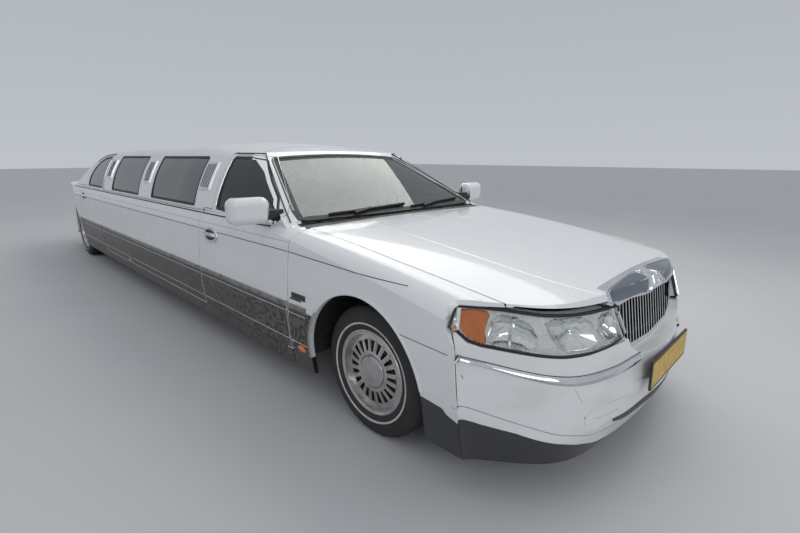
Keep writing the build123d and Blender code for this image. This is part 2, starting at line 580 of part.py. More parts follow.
# Cabin
PARTS["dashboard"] = prism_y(at_axle([(-640, 560), (-640, 950), (-800, 962), (-920, 905), (-880, 600)]),
                             -765, 765)
wheel_c = Vector(XF - 1130, 370, 900)
rim_plane = Plane(origin=wheel_c, z_dir=(-0.9, 0, 0.43))
PARTS["steering_wheel"] = (rim_plane * Torus(180, 14)) + (rim_plane * Box(350, 40, 16)) \
    + (rim_plane * Box(40, 350, 16)) \
    + rod(wheel_c, (XF - 900, 370, 790), 24) - PARTS["dashboard"]
SEAT = [(0, 288), (520, 288), (560, 470), (520, 520), (60, 500), (-100, 1010), (-190, 1010), (-150, 400),
        (-110, 288)]
PARTS["front_seat"] = prism_y([(XF - 1660 + x, z) for x, z in SEAT], -690, 690)
PARTS["rear_seat"] = prism_y([(XR + 780 + x * 0.9, z) for x, z in SEAT], -690, 690) - wells
bench = prism_x([(330, 288), (790, 288), (822, 400), (822, 960), (750, 960), (700, 500), (340, 480)], XF
                - 4380, XF - 2150)
PARTS["side_bench"] = bench
PARTS["bar_cabinet"] = block(XF - 3900, XF - 2150, -822, -560, 288, 780)
PARTS["partition"] = (block(XF - 1890, XF - 1862, -1000, 1000, 288, 1150) & CABIN) - sills

# Door mirrors
MIRROR_X = XF - 862
sail = (greenhouse(-8.0) - PANE_FACE) & prism_y(at_axle([(-800, 1014), (-985, 1014), (-955, 1100)]),
                                                -1100, -500) & RIGHT
arm = block(MIRROR_X - 18, MIRROR_X + 50, -960, -850, 1020, 1066) - PANE_FACE
mirror_shell = Pos(MIRROR_X, -1048, 1068) * Rot(0, 0, -8) * fillet(Box(120, 232, 150).edges(), 44)
PARTS["mirror_right"] = (mirror_shell + arm + sail) - PARTS["front_door_right"]
PARTS["mirror_left"] = mirror(PARTS["mirror_right"], about=Plane.XZ)

os.makedirs("parts", exist_ok=True)
SLIVER = 500.0                      # mm3; smaller crumbs left by the cuts are dropped
for node, shape in PARTS.items():
    solids = [solid for solid in shape.solids() if solid.volume > SLIVER]
    export_step(Compound(solids) if len(solids) > 1 else solids[0], f"parts/{node}.step")
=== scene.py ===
# %% [markdown]
# # A white stretch limousine, dressed in Blender
# The car's solids come from the CAD model and stay where they are. This lesson gives each of them a
# finish, and adds what is too fine for the solids: trims, seals, lamps, tyres, wheels and upholstery.
# Everything is in metres: X runs to the nose, Y to the car's left and Z up from the ground.

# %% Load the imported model
import functools
import math

import bmesh
import bpy
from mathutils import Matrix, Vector
from mathutils.bvhtree import BVHTree


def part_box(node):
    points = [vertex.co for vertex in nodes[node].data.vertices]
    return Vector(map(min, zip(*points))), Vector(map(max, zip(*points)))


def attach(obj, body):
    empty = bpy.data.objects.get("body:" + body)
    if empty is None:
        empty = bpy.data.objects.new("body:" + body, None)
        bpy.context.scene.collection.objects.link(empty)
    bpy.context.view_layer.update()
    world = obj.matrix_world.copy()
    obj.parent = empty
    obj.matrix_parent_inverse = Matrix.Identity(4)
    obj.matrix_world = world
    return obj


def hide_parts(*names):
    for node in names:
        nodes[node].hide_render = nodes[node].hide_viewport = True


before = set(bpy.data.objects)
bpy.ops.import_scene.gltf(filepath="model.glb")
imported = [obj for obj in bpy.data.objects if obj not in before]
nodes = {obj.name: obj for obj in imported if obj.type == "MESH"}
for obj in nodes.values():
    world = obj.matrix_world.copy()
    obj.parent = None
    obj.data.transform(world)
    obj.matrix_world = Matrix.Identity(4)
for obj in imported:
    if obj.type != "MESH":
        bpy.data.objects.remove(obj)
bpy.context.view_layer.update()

# %% [markdown]
# ## Places that everything else is measured from
# The wheels carry the car, so their centres give the axles. Both are read from the solids, and every
# trim is placed as a distance ahead of or behind the front axle, as a body builder measures.

# %% Axles and wheel centres
HANDS = (("right", -1), ("left", 1))
WHEELS = {}
for end in ("front", "rear"):
    for hand, side in HANDS:
        low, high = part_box(f"tyre_{end}_{hand}")
        WHEELS[end, hand] = ((low + high) / 2, side)
XF = WHEELS["front", "right"][0].x
XR = WHEELS["rear", "right"][0].x
TYRE_R = WHEELS["front", "right"][0].z
WHEELBASE = XF - XR
print("front axle", round(XF, 4), "rear axle", round(XR, 4), "tyre radius", round(TYRE_R, 4))

# %% [markdown]
# ## Finishes
# Each finish is one Principled shader. What varies over the surface, such as dust, scratches or grain,
# comes from noise in the object's own coordinates, so that it stays put when the view turns. What is
# the same everywhere is typed straight into the shader.

# %% Helpers for finishes
def finish(name, colour, rough=0.5, metal=0.0, **sockets):
    """A Principled material with its even values set."""
    mat = bpy.data.materials.new(name)
    mat.use_nodes = True
    shader = mat.node_tree.nodes["Principled BSDF"]
    shader.inputs["Base Color"].default_value = (*colour, 1)
    shader.inputs["Roughness"].default_value = rough
    shader.inputs["Metallic"].default_value = metal
    for socket, value in sockets.items():
        shader.inputs[socket.replace("_", " ")].default_value = value
    return mat


def noise(mat, scale, detail=4.0, stretch=(1, 1, 1)):
    """Noise in the object's coordinates, stretched along an axis where the grain runs that way."""
    tree = mat.node_tree
    where = tree.nodes.new("ShaderNodeTexCoord")
    size = tree.nodes.new("ShaderNodeMapping")
    size.inputs["Scale"].default_value = stretch
    grain = tree.nodes.new("ShaderNodeTexNoise")
    grain.inputs["Scale"].default_value = scale
    grain.inputs["Detail"].default_value = detail
    tree.links.new(where.outputs["Object"], size.inputs["Vector"])
    tree.links.new(size.outputs["Vector"], grain.inputs["Vector"])
    return grain.outputs["Fac"]


def ramp(mat, source, stops, socket):
    """Send a 0 to 1 value through colour stops to a socket of the shader."""
    tree = mat.node_tree
    band = tree.nodes.new("ShaderNodeValToRGB")
    while len(band.color_ramp.elements) < len(stops):
        band.color_ramp.elements.new(0.5)
    for element, (place, value) in zip(band.color_ramp.elements, stops):
        element.position = place
        element.color = (*value, 1) if isinstance(value, tuple) else (value, value, value, 1)
    tree.links.new(source, band.inputs["Fac"])
    tree.links.new(band.outputs["Color"], tree.nodes["Principled BSDF"].inputs[socket])


def relief(mat, source, strength, depth=0.001):
    """Fine grain that catches the light, as a bump."""
    tree = mat.node_tree
    node = tree.nodes.new("ShaderNodeBump")
    node.inputs["Strength"].default_value = strength
    node.inputs["Distance"].default_value = depth
    tree.links.new(source, node.inputs["Height"])
    tree.links.new(node.outputs["Normal"], tree.nodes["Principled BSDF"].inputs["Normal"])


def worn(name, light, dark, scale, rough, metal=0.0, grain=0.0, stretch=(1, 1, 1), **sockets):
    """A finish whose colour and roughness wander a little, as on anything in daily use."""
    mat = finish(name, light, rough[0], metal, **sockets)
    patch = noise(mat, scale, 5, stretch)
    ramp(mat, patch, [(0.35, light), (0.72, dark)], "Base Color")
    ramp(mat, patch, [(0.3, rough[0]), (0.75, rough[1])], "Roughness")
    if grain:
        relief(mat, noise(mat, scale * 14, 2, stretch), grain)
    return mat


# %% [markdown]
# ### Paint
# White paint under clear lacquer. One even colour would look fresh from a factory, and painted dirt
# would need every panel laid out flat. Road film gathers low on the body, so here the height above the
# ground is mixed with noise, and both the tint and the roughness follow that mix.

# %% White paint
FILM_STARTS, FILM_FULL = 0.8, 0.2    # heights between which the road film thickens


def split_place(tree, which="Object"):
    """Coordinates, by default the object's own, as separate X, Y and Z."""
    place = tree.nodes.new("ShaderNodeTexCoord")
    split = tree.nodes.new("ShaderNodeSeparateXYZ")
    tree.links.new(place.outputs[which], split.inputs[0])
    return split


def sum_node(tree, operation, second=None):
    """A Math node, with its second value set where it is even."""
    node = tree.nodes.new("ShaderNodeMath")
    node.operation = operation
    if second is not None:
        node.inputs[1].default_value = second
    return node


def paint(name, clean, dirty):
    """Lacquered paint that fades to a dirtier tint low on the body."""
    mat = finish(name, clean, 0.26, Coat_Weight=0.7, Coat_Roughness=0.05)
    tree = mat.node_tree
    height = tree.nodes.new("ShaderNodeMapRange")
    height.inputs["From Min"].default_value = FILM_STARTS
    height.inputs["From Max"].default_value = FILM_FULL
    film = sum_node(tree, "MULTIPLY_ADD", 0.42)
    tree.links.new(split_place(tree).outputs["Z"], height.inputs["Value"])
    tree.links.new(height.outputs["Result"], film.inputs[0])
    tree.links.new(noise(mat, 3.5, 6, (0.6, 1, 2.5)), film.inputs[2])
    faded = tuple(0.955 * c for c in clean)
    ramp(mat, film.outputs[0], [(0.45, clean), (0.75, faded), (1.0, dirty)], "Base Color")
    ramp(mat, film.outputs[0], [(0.3, 0.22), (1.0, 0.4)], "Roughness")
    return mat


white = paint("white_paint", (0.79, 0.80, 0.81), (0.62, 0.605, 0.575))
print("paint made:", white.name)

# %% [markdown]
# ### Painted shade under the nose
# Below a line along the nose and along the foot of the fender ahead of the door, the paint itself turns
# black, flush in the same skin. This black is painted shade: it stands for the dark ground shadow under
# the car, where the solids hang lower than the real bumper does. A colour ramp along the car holds the
# height of that line as a grey level.

# %% Paint that turns black below a line, as painted shade
# upper edge of the painted shade: below it the paint is black
SHADE_LINE = [
    # ahead of the front axle, height
    (-0.60, 0.303), (0.20, 0.303), (0.21, 0.420), (0.513, 0.396), (0.538, 0.374), (0.644, 0.342),
    (0.755, 0.320), (0.856, 0.285), (0.899, 0.268), (0.931, 0.244), (0.955, 0.191), (1.070, 0.182),
]


def paint_shade_below(mat, line, dark=(0.018, 0.018, 0.02)):
    """Paint shade into a finish: make it black below a line of places."""
    tree = mat.node_tree
    shader = tree.nodes["Principled BSDF"]
    split = split_place(tree)
    first, last = line[0][0], line[-1][0]
    along = tree.nodes.new("ShaderNodeMapRange")
    along.inputs["From Min"].default_value = XF + first
    along.inputs["From Max"].default_value = XF + last
    rise = tree.nodes.new("ShaderNodeValToRGB")
    stops = rise.color_ramp.elements
    while len(stops) < len(line):
        stops.new(0.5)
    for stop, (x, z) in zip(stops, line):
        stop.position = (x - first) / (last - first)
        stop.color = (z, z, z, 1)
    below = sum_node(tree, "LESS_THAN")
    mixed = tree.nodes.new("ShaderNodeMix")
    mixed.data_type = "RGBA"
    mixed.inputs["B"].default_value = (*dark, 1)
    upper = shader.inputs["Base Color"].links[0].from_socket
    tree.links.new(split.outputs["X"], along.inputs["Value"])
    tree.links.new(along.outputs["Result"], rise.inputs["Fac"])
    tree.links.new(split.outputs["Z"], below.inputs[0])
    tree.links.new(rise.outputs["Color"], below.inputs[1])
    tree.links.new(below.outputs[0], mixed.inputs["Factor"])
    tree.links.new(upper, mixed.inputs["A"])
    tree.links.new(mixed.outputs["Result"], shader.inputs["Base Color"])


# White paint that turns black below the line, the black being painted shade under the nose.
white_with_painted_shade = paint("white_paint_with_painted_shade", (0.79, 0.80, 0.81), (0.66, 0.65, 0.63))
paint_shade_below(white_with_painted_shade, SHADE_LINE)
print("paint made:", white_with_painted_shade.name)

# %% [markdown]
# ### Bright work, rubber, glass and the rest
# Chrome and alloy are metals of low and middling roughness. Glass lets light through and is tinted by
# its colour, darkest in the front doors. Each finish could be a tree of nodes of its own. Here each is
# one call of the same helper, so that all can be read off, and set lighter or duller, in a few lines.

# %% Metals and plastics
chrome = worn("chrome", (0.80, 0.81, 0.83), (0.68, 0.69, 0.71), 9, (0.04, 0.13), 1.0)
alloy = worn("alloy", (0.62, 0.61, 0.60), (0.42, 0.41, 0.40), 14, (0.24, 0.42), 1.0, 0.06)
reflector = worn("lamp_reflector", (0.86, 0.87, 0.88), (0.70, 0.71, 0.73), 60, (0.06, 0.16), 1.0)
steel = worn("steel", (0.40, 0.39, 0.38), (0.22, 0.19, 0.17), 12, (0.38, 0.6), 1.0, 0.1)
iron = worn("cast_iron", (0.16, 0.14, 0.13), (0.09, 0.07, 0.06), 22, (0.55, 0.8), 0.6, 0.3)
frame_black = worn("frame_black", (0.035, 0.034, 0.033), (0.075, 0.065, 0.055), 9, (0.5, 0.8), 0.0, 0.2)
black_plastic = worn("black_plastic", (0.022, 0.022, 0.024), (0.04, 0.04, 0.042), 30, (0.42, 0.6), 0.0, 0.25)
rubber = worn("rubber", (0.012, 0.012, 0.013), (0.028, 0.027, 0.026), 25, (0.45, 0.7), 0.0, 0.15)
tyre_rubber = worn("tyre_rubber", (0.017, 0.017, 0.018), (0.04, 0.038, 0.036), 16, (0.6, 0.85), 0.0, 0.3)
whitewall = worn("whitewall", (0.62, 0.62, 0.60), (0.44, 0.43, 0.40), 26, (0.6, 0.8))
bezel = worn("lamp_bezel", (0.86, 0.88, 0.86), (0.74, 0.77, 0.75), 18, (0.2, 0.35), 0.15)
smoked_chrome = worn("smoked_chrome", (0.24, 0.27, 0.32), (0.16, 0.18, 0.22), 9, (0.05, 0.14), 1.0)
scratch = worn("scratch", (0.34, 0.33, 0.33), (0.5, 0.5, 0.49), 120, (0.6, 0.85))
seam_dark = worn("seam_dark", (0.05, 0.052, 0.056), (0.10, 0.10, 0.105), 30, (0.5, 0.7))
stripe_grey = worn("stripe_grey", (0.30, 0.32, 0.35), (0.40, 0.42, 0.44), 12, (0.35, 0.5))
print("metals and plastics made")

# %% Glass and lamp lenses
windscreen_glass = worn("windscreen_glass", (0.56, 0.66, 0.62), (0.48, 0.58, 0.54), 3, (0.0, 0.03), 0.0,
                        Transmission_Weight=1.0, IOR=1.5, Specular_IOR_Level=0.3)
dark_glass = worn("dark_glass", (0.055, 0.062, 0.072), (0.04, 0.045, 0.052), 3, (0.01, 0.05), 0.0,
                  Transmission_Weight=1.0, IOR=1.52)
tinted_glass = worn("tinted_glass", (0.25, 0.235, 0.25), (0.19, 0.18, 0.195), 2.5, (0.03, 0.09), 0.0,
                    Transmission_Weight=0.55, IOR=1.6)
lens_clear = worn("lamp_lens", (0.98, 0.99, 0.98), (0.94, 0.95, 0.92), 24, (0.02, 0.12), 0.0,
                  Transmission_Weight=1.0, IOR=1.3)
amber_lens = worn("amber_lens", (0.95, 0.25, 0.03), (0.82, 0.18, 0.02), 30, (0.12, 0.25), 0.0,
                  Transmission_Weight=0.15, Coat_Weight=0.4)
red_lens = worn("red_lens", (0.42, 0.01, 0.012), (0.26, 0.006, 0.008), 30, (0.12, 0.3), 0.0,
                Transmission_Weight=0.2, Coat_Weight=0.5)
mirror_glass = worn("mirror_glass", (0.82, 0.84, 0.86), (0.74, 0.76, 0.78), 8, (0.02, 0.06), 1.0)
print("glass made")

# %% Cabin finishes and the plate
leather = worn("leather", (0.30, 0.29, 0.28), (0.22, 0.21, 0.20), 12, (0.4, 0.58), 0.0, 0.35)
trim = worn("cabin_trim", (0.11, 0.11, 0.115), (0.075, 0.075, 0.08), 16, (0.5, 0.7), 0.0, 0.25)
wood = worn("wood", (0.16, 0.07, 0.03), (0.07, 0.026, 0.012), 5, (0.2, 0.34), 0.0, 0.05, (1, 6, 9),
            Coat_Weight=0.6)
plate_yellow = worn("plate_yellow", (0.66, 0.42, 0.06), (0.54, 0.33, 0.04), 20, (0.35, 0.5))
print("cabin finishes made")

# %% [markdown]
# ### Etched steel
# The cladding along the sides is steel sheet etched with small swirls. They could be drawn as lines,
# but there are hundreds. Rings round the cells of a Voronoi pattern, shaken by noise, look the same at
# a step's distance and follow the sheet round every curve.

# %% Etched steel of the side cladding
CELLS_PER_METRE = 13
RING_PACE = 15         # how fast the rings follow each other in a cell
SHAKE = 22             # how far the noise pushes them about


def etched_steel():
    """Dark steel with swirls that shine a little less than the ground between them."""
    mat = finish("etched_steel", (0.3, 0.29, 0.28), 0.35, 1.0)
    tree = mat.node_tree
    place = tree.nodes.new("ShaderNodeTexCoord")
    cells = tree.nodes.new("ShaderNodeTexVoronoi")
    cells.inputs["Scale"].default_value = CELLS_PER_METRE
    rings = sum_node(tree, "MULTIPLY_ADD", RING_PACE)
    shake = sum_node(tree, "MULTIPLY", SHAKE)
    wave = sum_node(tree, "SINE")
    level = tree.nodes.new("ShaderNodeMapRange")
    level.inputs["From Min"].default_value = -1
    tree.links.new(place.outputs["Object"], cells.inputs["Vector"])
    tree.links.new(noise(mat, 7, 3), shake.inputs[0])
    tree.links.new(cells.outputs["Distance"], rings.inputs[0])
    tree.links.new(shake.outputs[0], rings.inputs[2])
    tree.links.new(rings.outputs[0], wave.inputs[0])
    tree.links.new(wave.outputs[0], level.inputs["Value"])
    swirl = level.outputs["Result"]
    ramp(mat, swirl, [(0.2, (0.092, 0.084, 0.079)), (0.8, (0.215, 0.197, 0.182))], "Base Color")
    ramp(mat, swirl, [(0.1, 0.28), (0.9, 0.5)], "Roughness")
    return mat


cladding_steel = etched_steel()
print("made", cladding_steel.name)

# %% [markdown]
# ## Dress the solids
# A solid keeps its mesh and only takes a finish. The bumpers, front fenders, rear quarters, hood and
# grille header have their normals smoothed below a fair angle, so that the skin's facets melt together
# while the panel edges stay crisp.

# %% Which solid wears what
WEARS = {
    # paint with painted shade, black low on the nose
    white_with_painted_shade: "front_fenders front_bumper",
    white: "body_sides rear_quarters roof hood trunk_lid rear_bumper "
           "front_door_right front_door_left rear_door_right rear_door_left mirror_right mirror_left",
    black_plastic: "cowl wheel_liners radiator",
    windscreen_glass: "windscreen",
    tinted_glass: "side_windows rear_glass_right rear_glass_left rear_window",
    dark_glass: "front_glass_right front_glass_left",
    chrome: "grille grille_header pillar_louvres",
    alloy: "rim_front_right rim_front_left rim_rear_right rim_rear_left",
    frame_black: "chassis_frame floor_pan fuel_tank front_suspension",
    iron: "engine rear_axle knuckle_right knuckle_left",
    steel: "exhaust",
    cladding_steel: "sill_panels",
    red_lens: "tail_lamps",
    trim: "dashboard steering_wheel partition",
    wood: "bar_cabinet",
}
for mat, names in WEARS.items():
    for name in names.split():
        mesh = nodes[name].data
        mesh.materials.clear()
        mesh.materials.append(mat)
SOFT_EDGES = ("front_bumper", "front_fenders", "rear_bumper", "rear_quarters", "hood", "grille_header")
for name in SOFT_EDGES:
    nodes[name].data.set_sharp_from_angle(angle=math.radians(58))
print("solids dressed:", sum(len(names.split()) for names in WEARS.values()))

# %% [markdown]
# ## Laying trims on the skin
# A trim follows the panel under it. A ray is shot at the solids from outside, and where it lands gives
# the place and the way out. A profile is then swept along such landings, so no trim floats or sinks.

# %% Helpers: landings
@functools.cache
def skin(*names):
    """The outer surface of several solids, ready for rays."""
    corners, sides = [], []
    for name in names:
        base = len(corners)
        corners += [v.co.copy() for v in nodes[name].data.vertices]
        sides += [[base + i for i in p.vertices] for p in nodes[name].data.polygons]
    return BVHTree.FromPolygons(corners, sides)


def land(tree, start, heading):
    """Where a ray lands, with the way out of the surface there."""
    place, normal, _, _ = tree.ray_cast(Vector(start), Vector(heading).normalized())
    if place is None:
        return None
    return place, (-normal if normal.dot(Vector(heading)) > 0 else normal)


def on_side(tree, side, x, z):
    """Landing on the flank of the car: x from the front axle, z above the ground."""
    return land(tree, (XF + x, side * 2, z), (0, -side, 0))


def landed(hits):
    """The landings that met something."""
    return [hit for hit in hits if hit]


print("roof above the ground:", round(land(skin("roof"), (XF - 3, 0, 3), (0, 0, -1))[0].z, 3))

# %% Helpers: pieces and sweeps
def piece(name, corners, faces, mat, body, smooth=35):
    """A mesh made in code, given its finish and the body it rides on."""
    mesh = bpy.data.meshes.new(name)
    mesh.from_pydata([tuple(c) for c in corners], [], faces)
    solid = bmesh.new()
    solid.from_mesh(mesh)
    bmesh.ops.recalc_face_normals(solid, faces=solid.faces)
    solid.to_mesh(mesh)
    solid.free()
    mesh.shade_smooth()
    mesh.set_sharp_from_angle(angle=math.radians(smooth))
    mesh.materials.append(mat)
    obj = bpy.data.objects.new(name, mesh)
    bpy.context.scene.collection.objects.link(obj)
    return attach(obj, body)


def around(count):
    """Pairs of neighbours in a closed ring."""
    return [(k, (k + 1) % count) for k in range(count)]


def tube_faces(width, pairs):
    """Faces between pairs of rings that have width places each."""
    return [[i * width + k, j * width + k, j * width + m, i * width + m]
            for i, j in pairs for k, m in around(width)]


def slab_faces(count):
    """Faces of a flat slab given by two loops of count places."""
    sides = [[k, m, count + m, count + k] for k, m in around(count)]
    return [list(range(count)), list(range(count, 2 * count))] + sides


def dish_faces(levels, count):
    """Faces between rings of count places, closed by a fan to the one place that comes after them."""
    faces = [[i * count + k, i * count + m, (i + 1) * count + m, (i + 1) * count + k]
             for i in range(levels - 1) for k, m in around(count)]
    last = (levels - 1) * count
    return faces + [[last + k, last + m, levels * count] for k, m in around(count)]


def sweep(name, stations, profile, mat, body, closed=False, toward=None, parts=None):
    """Run a closed profile of (across, out) pairs along landings. parts gathers runs into one mesh."""
    count = len(stations)
    corners = []
    for i, (place, normal) in enumerate(stations):
        before = stations[(i - 1) % count if closed else max(i - 1, 0)][0]
        after = stations[(i + 1) % count if closed else min(i + 1, count - 1)][0]
        along = (after - before).normalized()
        across = along.cross(normal).normalized()
        if toward is not None and (toward - place).dot(across) < 0:
            across = -across
        up = along.cross(across)
        if up.dot(normal) < 0:
            up = -up
        scale = profile(i / (count - 1)) if callable(profile) else profile
        width = len(scale)
        corners += [place + a * across + o * up for a, o in scale]
    faces = tube_faces(width, around(count) if closed else [(i, i + 1) for i in range(count - 1)])
    if not closed:
        faces += [list(range(width)), list(range((count - 1) * width, count * width))]
    if parts is not None:
        base = len(parts[0])
        parts[0].extend(corners)
        parts[1].extend([[base + k for k in f] for f in faces])
        return None
    return piece(name, corners, faces, mat, body)


def dome(width, height, sink=0.002):
    """A low rounded bar, sunk a little into the panel."""
    w, shoulder = width / 2, height * 0.45
    return [(-w, -sink), (-w, shoulder), (-w * 0.6, height), (w * 0.6, height), (w, shoulder), (w, -sink)]


print("a bar 10 mm wide and 3 mm high:", dome(0.010, 0.003))

# %% Helpers: runs of places
def steps(start, stop, pitch):
    """Even steps from start to stop, about a pitch apart."""
    count = max(2, int(abs(stop - start) / pitch) + 1)
    return [start + (stop - start) * i / (count - 1) for i in range(count)]


def rounded(outline, radius, pitch):
    """A 2-D polygon with its corners rounded, as evenly spaced points."""
    curve = []
    count = len(outline)
    for i in range(count):
        a, b, c = (Vector(outline[(i + k) % count]) for k in (-1, 0, 1))
        r = min(radius, 0.45 * (a - b).length, 0.45 * (c - b).length)
        start, end = b + (a - b).normalized() * r, b + (c - b).normalized() * r
        for t in (0, 0.2, 0.4, 0.6, 0.8, 1):
            curve.append((1 - t) ** 2 * start + 2 * t * (1 - t) * b + t * t * end)
    even = []
    for a, b in zip(curve, curve[1:] + curve[:1]):
        parts = max(1, round((b - a).length / pitch))
        even += [a + (b - a) * k / parts for k in range(parts)]
    return even


def pushed(points, distance):
    """A closed 2-D run of points moved outward by a distance."""
    count = len(points)
    area = sum(a.x * b.y - b.x * a.y for a, b in zip(points, points[1:] + points[:1]))
    turn = 1 if area > 0 else -1
    out = []
    for i, p in enumerate(points):
        along = (points[(i + 1) % count] - points[i - 1]).normalized()
        out.append(p + turn * distance * Vector((along.y, -along.x)))
    return out


trial = pushed(rounded([(0, 0), (1, 0), (1, 1), (0, 1)], 0.1, 0.2), 0.01)
print("a rounded square pushed out reaches from", round(min(p.x for p in trial), 3), "to",
      round(max(p.x for p in trial), 3))


# %% [markdown]
# ## The flanks, panel by panel
# Long trims are cut at every door seam, because each length moves with its own panel. One long trim
# cut up afterwards would leave open ends. The table gives each panel's reach behind the front axle and
# the body that carries it, and every length is made whole within that reach.

# %% Panels of a flank
PANELS = [
    # start, stop, body, solids under it
    (0.30, -0.580, "body", ("front_fenders",)),
    (-0.5915, -1.7655, "front_door", ("front_door",)),
    (-1.781, -4.542, "body", ("body_sides",)),
    (-4.5635, -5.5565, "rear_door", ("rear_door",)),
    (-5.572, -7.25, "body", ("rear_quarters",)),
]
FLANK_SOLIDS = ("front_fenders", "front_door", "body_sides", "rear_door", "rear_quarters", "front_bumper",
                "rear_bumper", "roof", "sill_panels", "cowl")


def handed(hand, stem):
    """The name of a solid or body on one side of the car. Only doors come in pairs."""
    return f"{stem}_{hand}" if stem.endswith("door") else stem


def panel_skin(hand, stems):
    """The joined skin of several solids, those of one side where they come in pairs."""
    return skin(*[handed(hand, stem) for stem in stems])


def rail_along(name, height, profile, mat, start, stop, pitch=0.06):
    """One trim along both flanks, cut at the seams. height is a number, or a rule for it along the car."""
    made = 0
    for hand, side in HANDS:
        for first, last, body, stems in PANELS:
            a, b = min(first, start), max(last, stop)
            if a - b < 0.03:
                continue
            tree = panel_skin(hand, stems)
            run = landed(on_side(tree, side, x, height(x) if callable(height) else height)
                         for x in steps(a, b, pitch))
            if len(run) > 1:
                sweep(f"{name}_{body}_{hand}_{made}", run, profile, mat, handed(hand, body))
                made += 1
    print(name, "lengths", made)


print("panels on each flank:", len(PANELS))

# %% [markdown]
# ### Belt strip and pinstripe
# A chrome strip runs under the windows over a dark gap, and a thin dark stripe runs lower down along
# the crease of the body. They could be cut into the solids, but are finer than those are. All four
# lines are single profiles swept along the flank, so one table holds them.

# %% Belt strip and pinstripe
BELT = [(-0.013, -0.002), (-0.013, 0.004), (-0.007, 0.0075), (0.007, 0.0075), (0.012, 0.003), (0.012, -0.002)]


def crease(x):
    """Height of the body's crease, which dips towards the nose."""
    return 0.866 - 0.022 * max(0.0, (x + 0.6) / 0.9)


BELT_RAILS = [
    # name, height, profile, finish, first and last place from the front axle, pitch
    ("belt_strip", 0.992, BELT, chrome, -0.83, -6.02, 0.06),
    ("belt_rubber", 0.9735, dome(0.011, 0.003), rubber, -0.83, -6.02, 0.06),
    ("pinstripe", crease, dome(0.0045, 0.0012), seam_dark, 0.285, -5.95, 0.05),
    ("upper_stripe", 0.915, dome(0.003, 0.0009), stripe_grey, -0.60, -5.95, 0.08),
]
for row in BELT_RAILS:
    rail_along(*row)


# %% [markdown]
# ### Etched cladding
# Thin sheets of etched steel cover the lower flanks, with bright mouldings along the top and the foot.
# Giving the panel's own faces a steel finish would leave no edge to catch the light. So each sheet is a
# grid of landings lifted a little, closed at the back, and cut back round the wheel arches.

# %% Helper: a sheet on the skin
def sheet_on(name, rows, thick, mat, body):
    """A closed sheet lying on landings given as rows of equal length."""
    columns = len(rows[0])
    flat = [hit for row in rows for hit in row]
    total = len(flat)
    faces = []
    for i in range(len(rows) - 1):
        for j in range(columns - 1):
            a = i * columns + j
            quad = [a, a + 1, a + columns + 1, a + columns]
            faces.append(quad)
            faces.append([total + k for k in reversed(quad)])
    rim = list(range(columns)) + [i * columns + columns - 1 for i in range(1, len(rows))]
    rim += [(len(rows) - 1) * columns + j for j in range(columns - 2, -1, -1)]
    rim += [i * columns for i in range(len(rows) - 2, 0, -1)]
    for a, b in zip(rim, rim[1:] + rim[:1]):
        faces.append([a, b, total + b, total + a])
    corners = [p + n * thick for p, n in flat] + [p - n * 0.0006 for p, n in flat]
    return piece(name, corners, faces, mat, body)


print("a sheet's back lies 0.6 mm under the skin")

# %% Cladding sheets
CLAD_LOW, CLAD_HIGH, CLAD_T = 0.303, 0.590, 0.0022
CLAD_TO_ARCH = 0.012
ARCHES = {
    # end: place of the axle, radius of the arch in the panel
    "front": (0.0, 0.405),
    "rear": (-WHEELBASE, 0.378),
}


def arch_edge(z, end, margin, heading):
    """How far from the front axle a wheel arch is at a height, ahead of (1) or behind (-1) its wheel."""
    centre, radius = ARCHES[end]
    return centre + heading * math.sqrt(max((radius + margin) ** 2 - (z - TYRE_R) ** 2, 0.0))


heights = steps(CLAD_LOW, CLAD_HIGH, 0.03)
for hand, side in HANDS:
    for first, last, body, stems in PANELS:
        ends = [(arch_edge(z, "front", CLAD_TO_ARCH, -1) if stems == ("front_fenders",) else first,
                 arch_edge(z, "rear", CLAD_TO_ARCH, 1) if stems == ("rear_quarters",) else last)
                for z in heights]
        cells = min(len(steps(a, b, 0.06)) for a, b in ends) - 1
        tree = panel_skin(hand, stems)
        rows = [[on_side(tree, side, a + (b - a) * k / cells, z) for k in range(cells + 1)]
                for (a, b), z in zip(ends, heights)]
        rows = [row for row in rows if row[0] and row[-1]]    # a height past the panel's edge gives no row
        sheet_on(f"cladding_{stems[0]}_{hand}", rows, CLAD_T, cladding_steel, handed(hand, body))
print("cladding sheets:", len(HANDS) * len(PANELS))

# %% Mouldings of the cladding
CLAD_RAILS = [
    # name, height, width and lift, finish, first and last place from the front axle
    ("clad_bead", 0.5895, (0.007, 0.006), chrome, -0.41, -5.70),
    ("clad_satin", 0.5690, (0.031, 0.0045), steel, -0.41, -5.70),
    ("clad_groove", 0.5455, (0.011, 0.0035), seam_dark, -0.41, -5.70),
    ("clad_line", 0.5345, (0.008, 0.0065), chrome, -0.41, -5.70),
    ("clad_foot", 0.361, (0.006, 0.005), chrome, -0.42, -5.65),
]
for name, height, bar, mat, first, last in CLAD_RAILS:
    rail_along(name, height, dome(*bar), mat, first, last)


# %% [markdown]
# ### Wheel arches
# The edge of each arch is rolled outward for strength. In the solid this would be one more round edge
# to cut; as a bead swept round the arch on the skin it follows the fender's curve by itself. A thin
# metal strip ends the cladding at the front arch, and a bright bead ends it at the door.

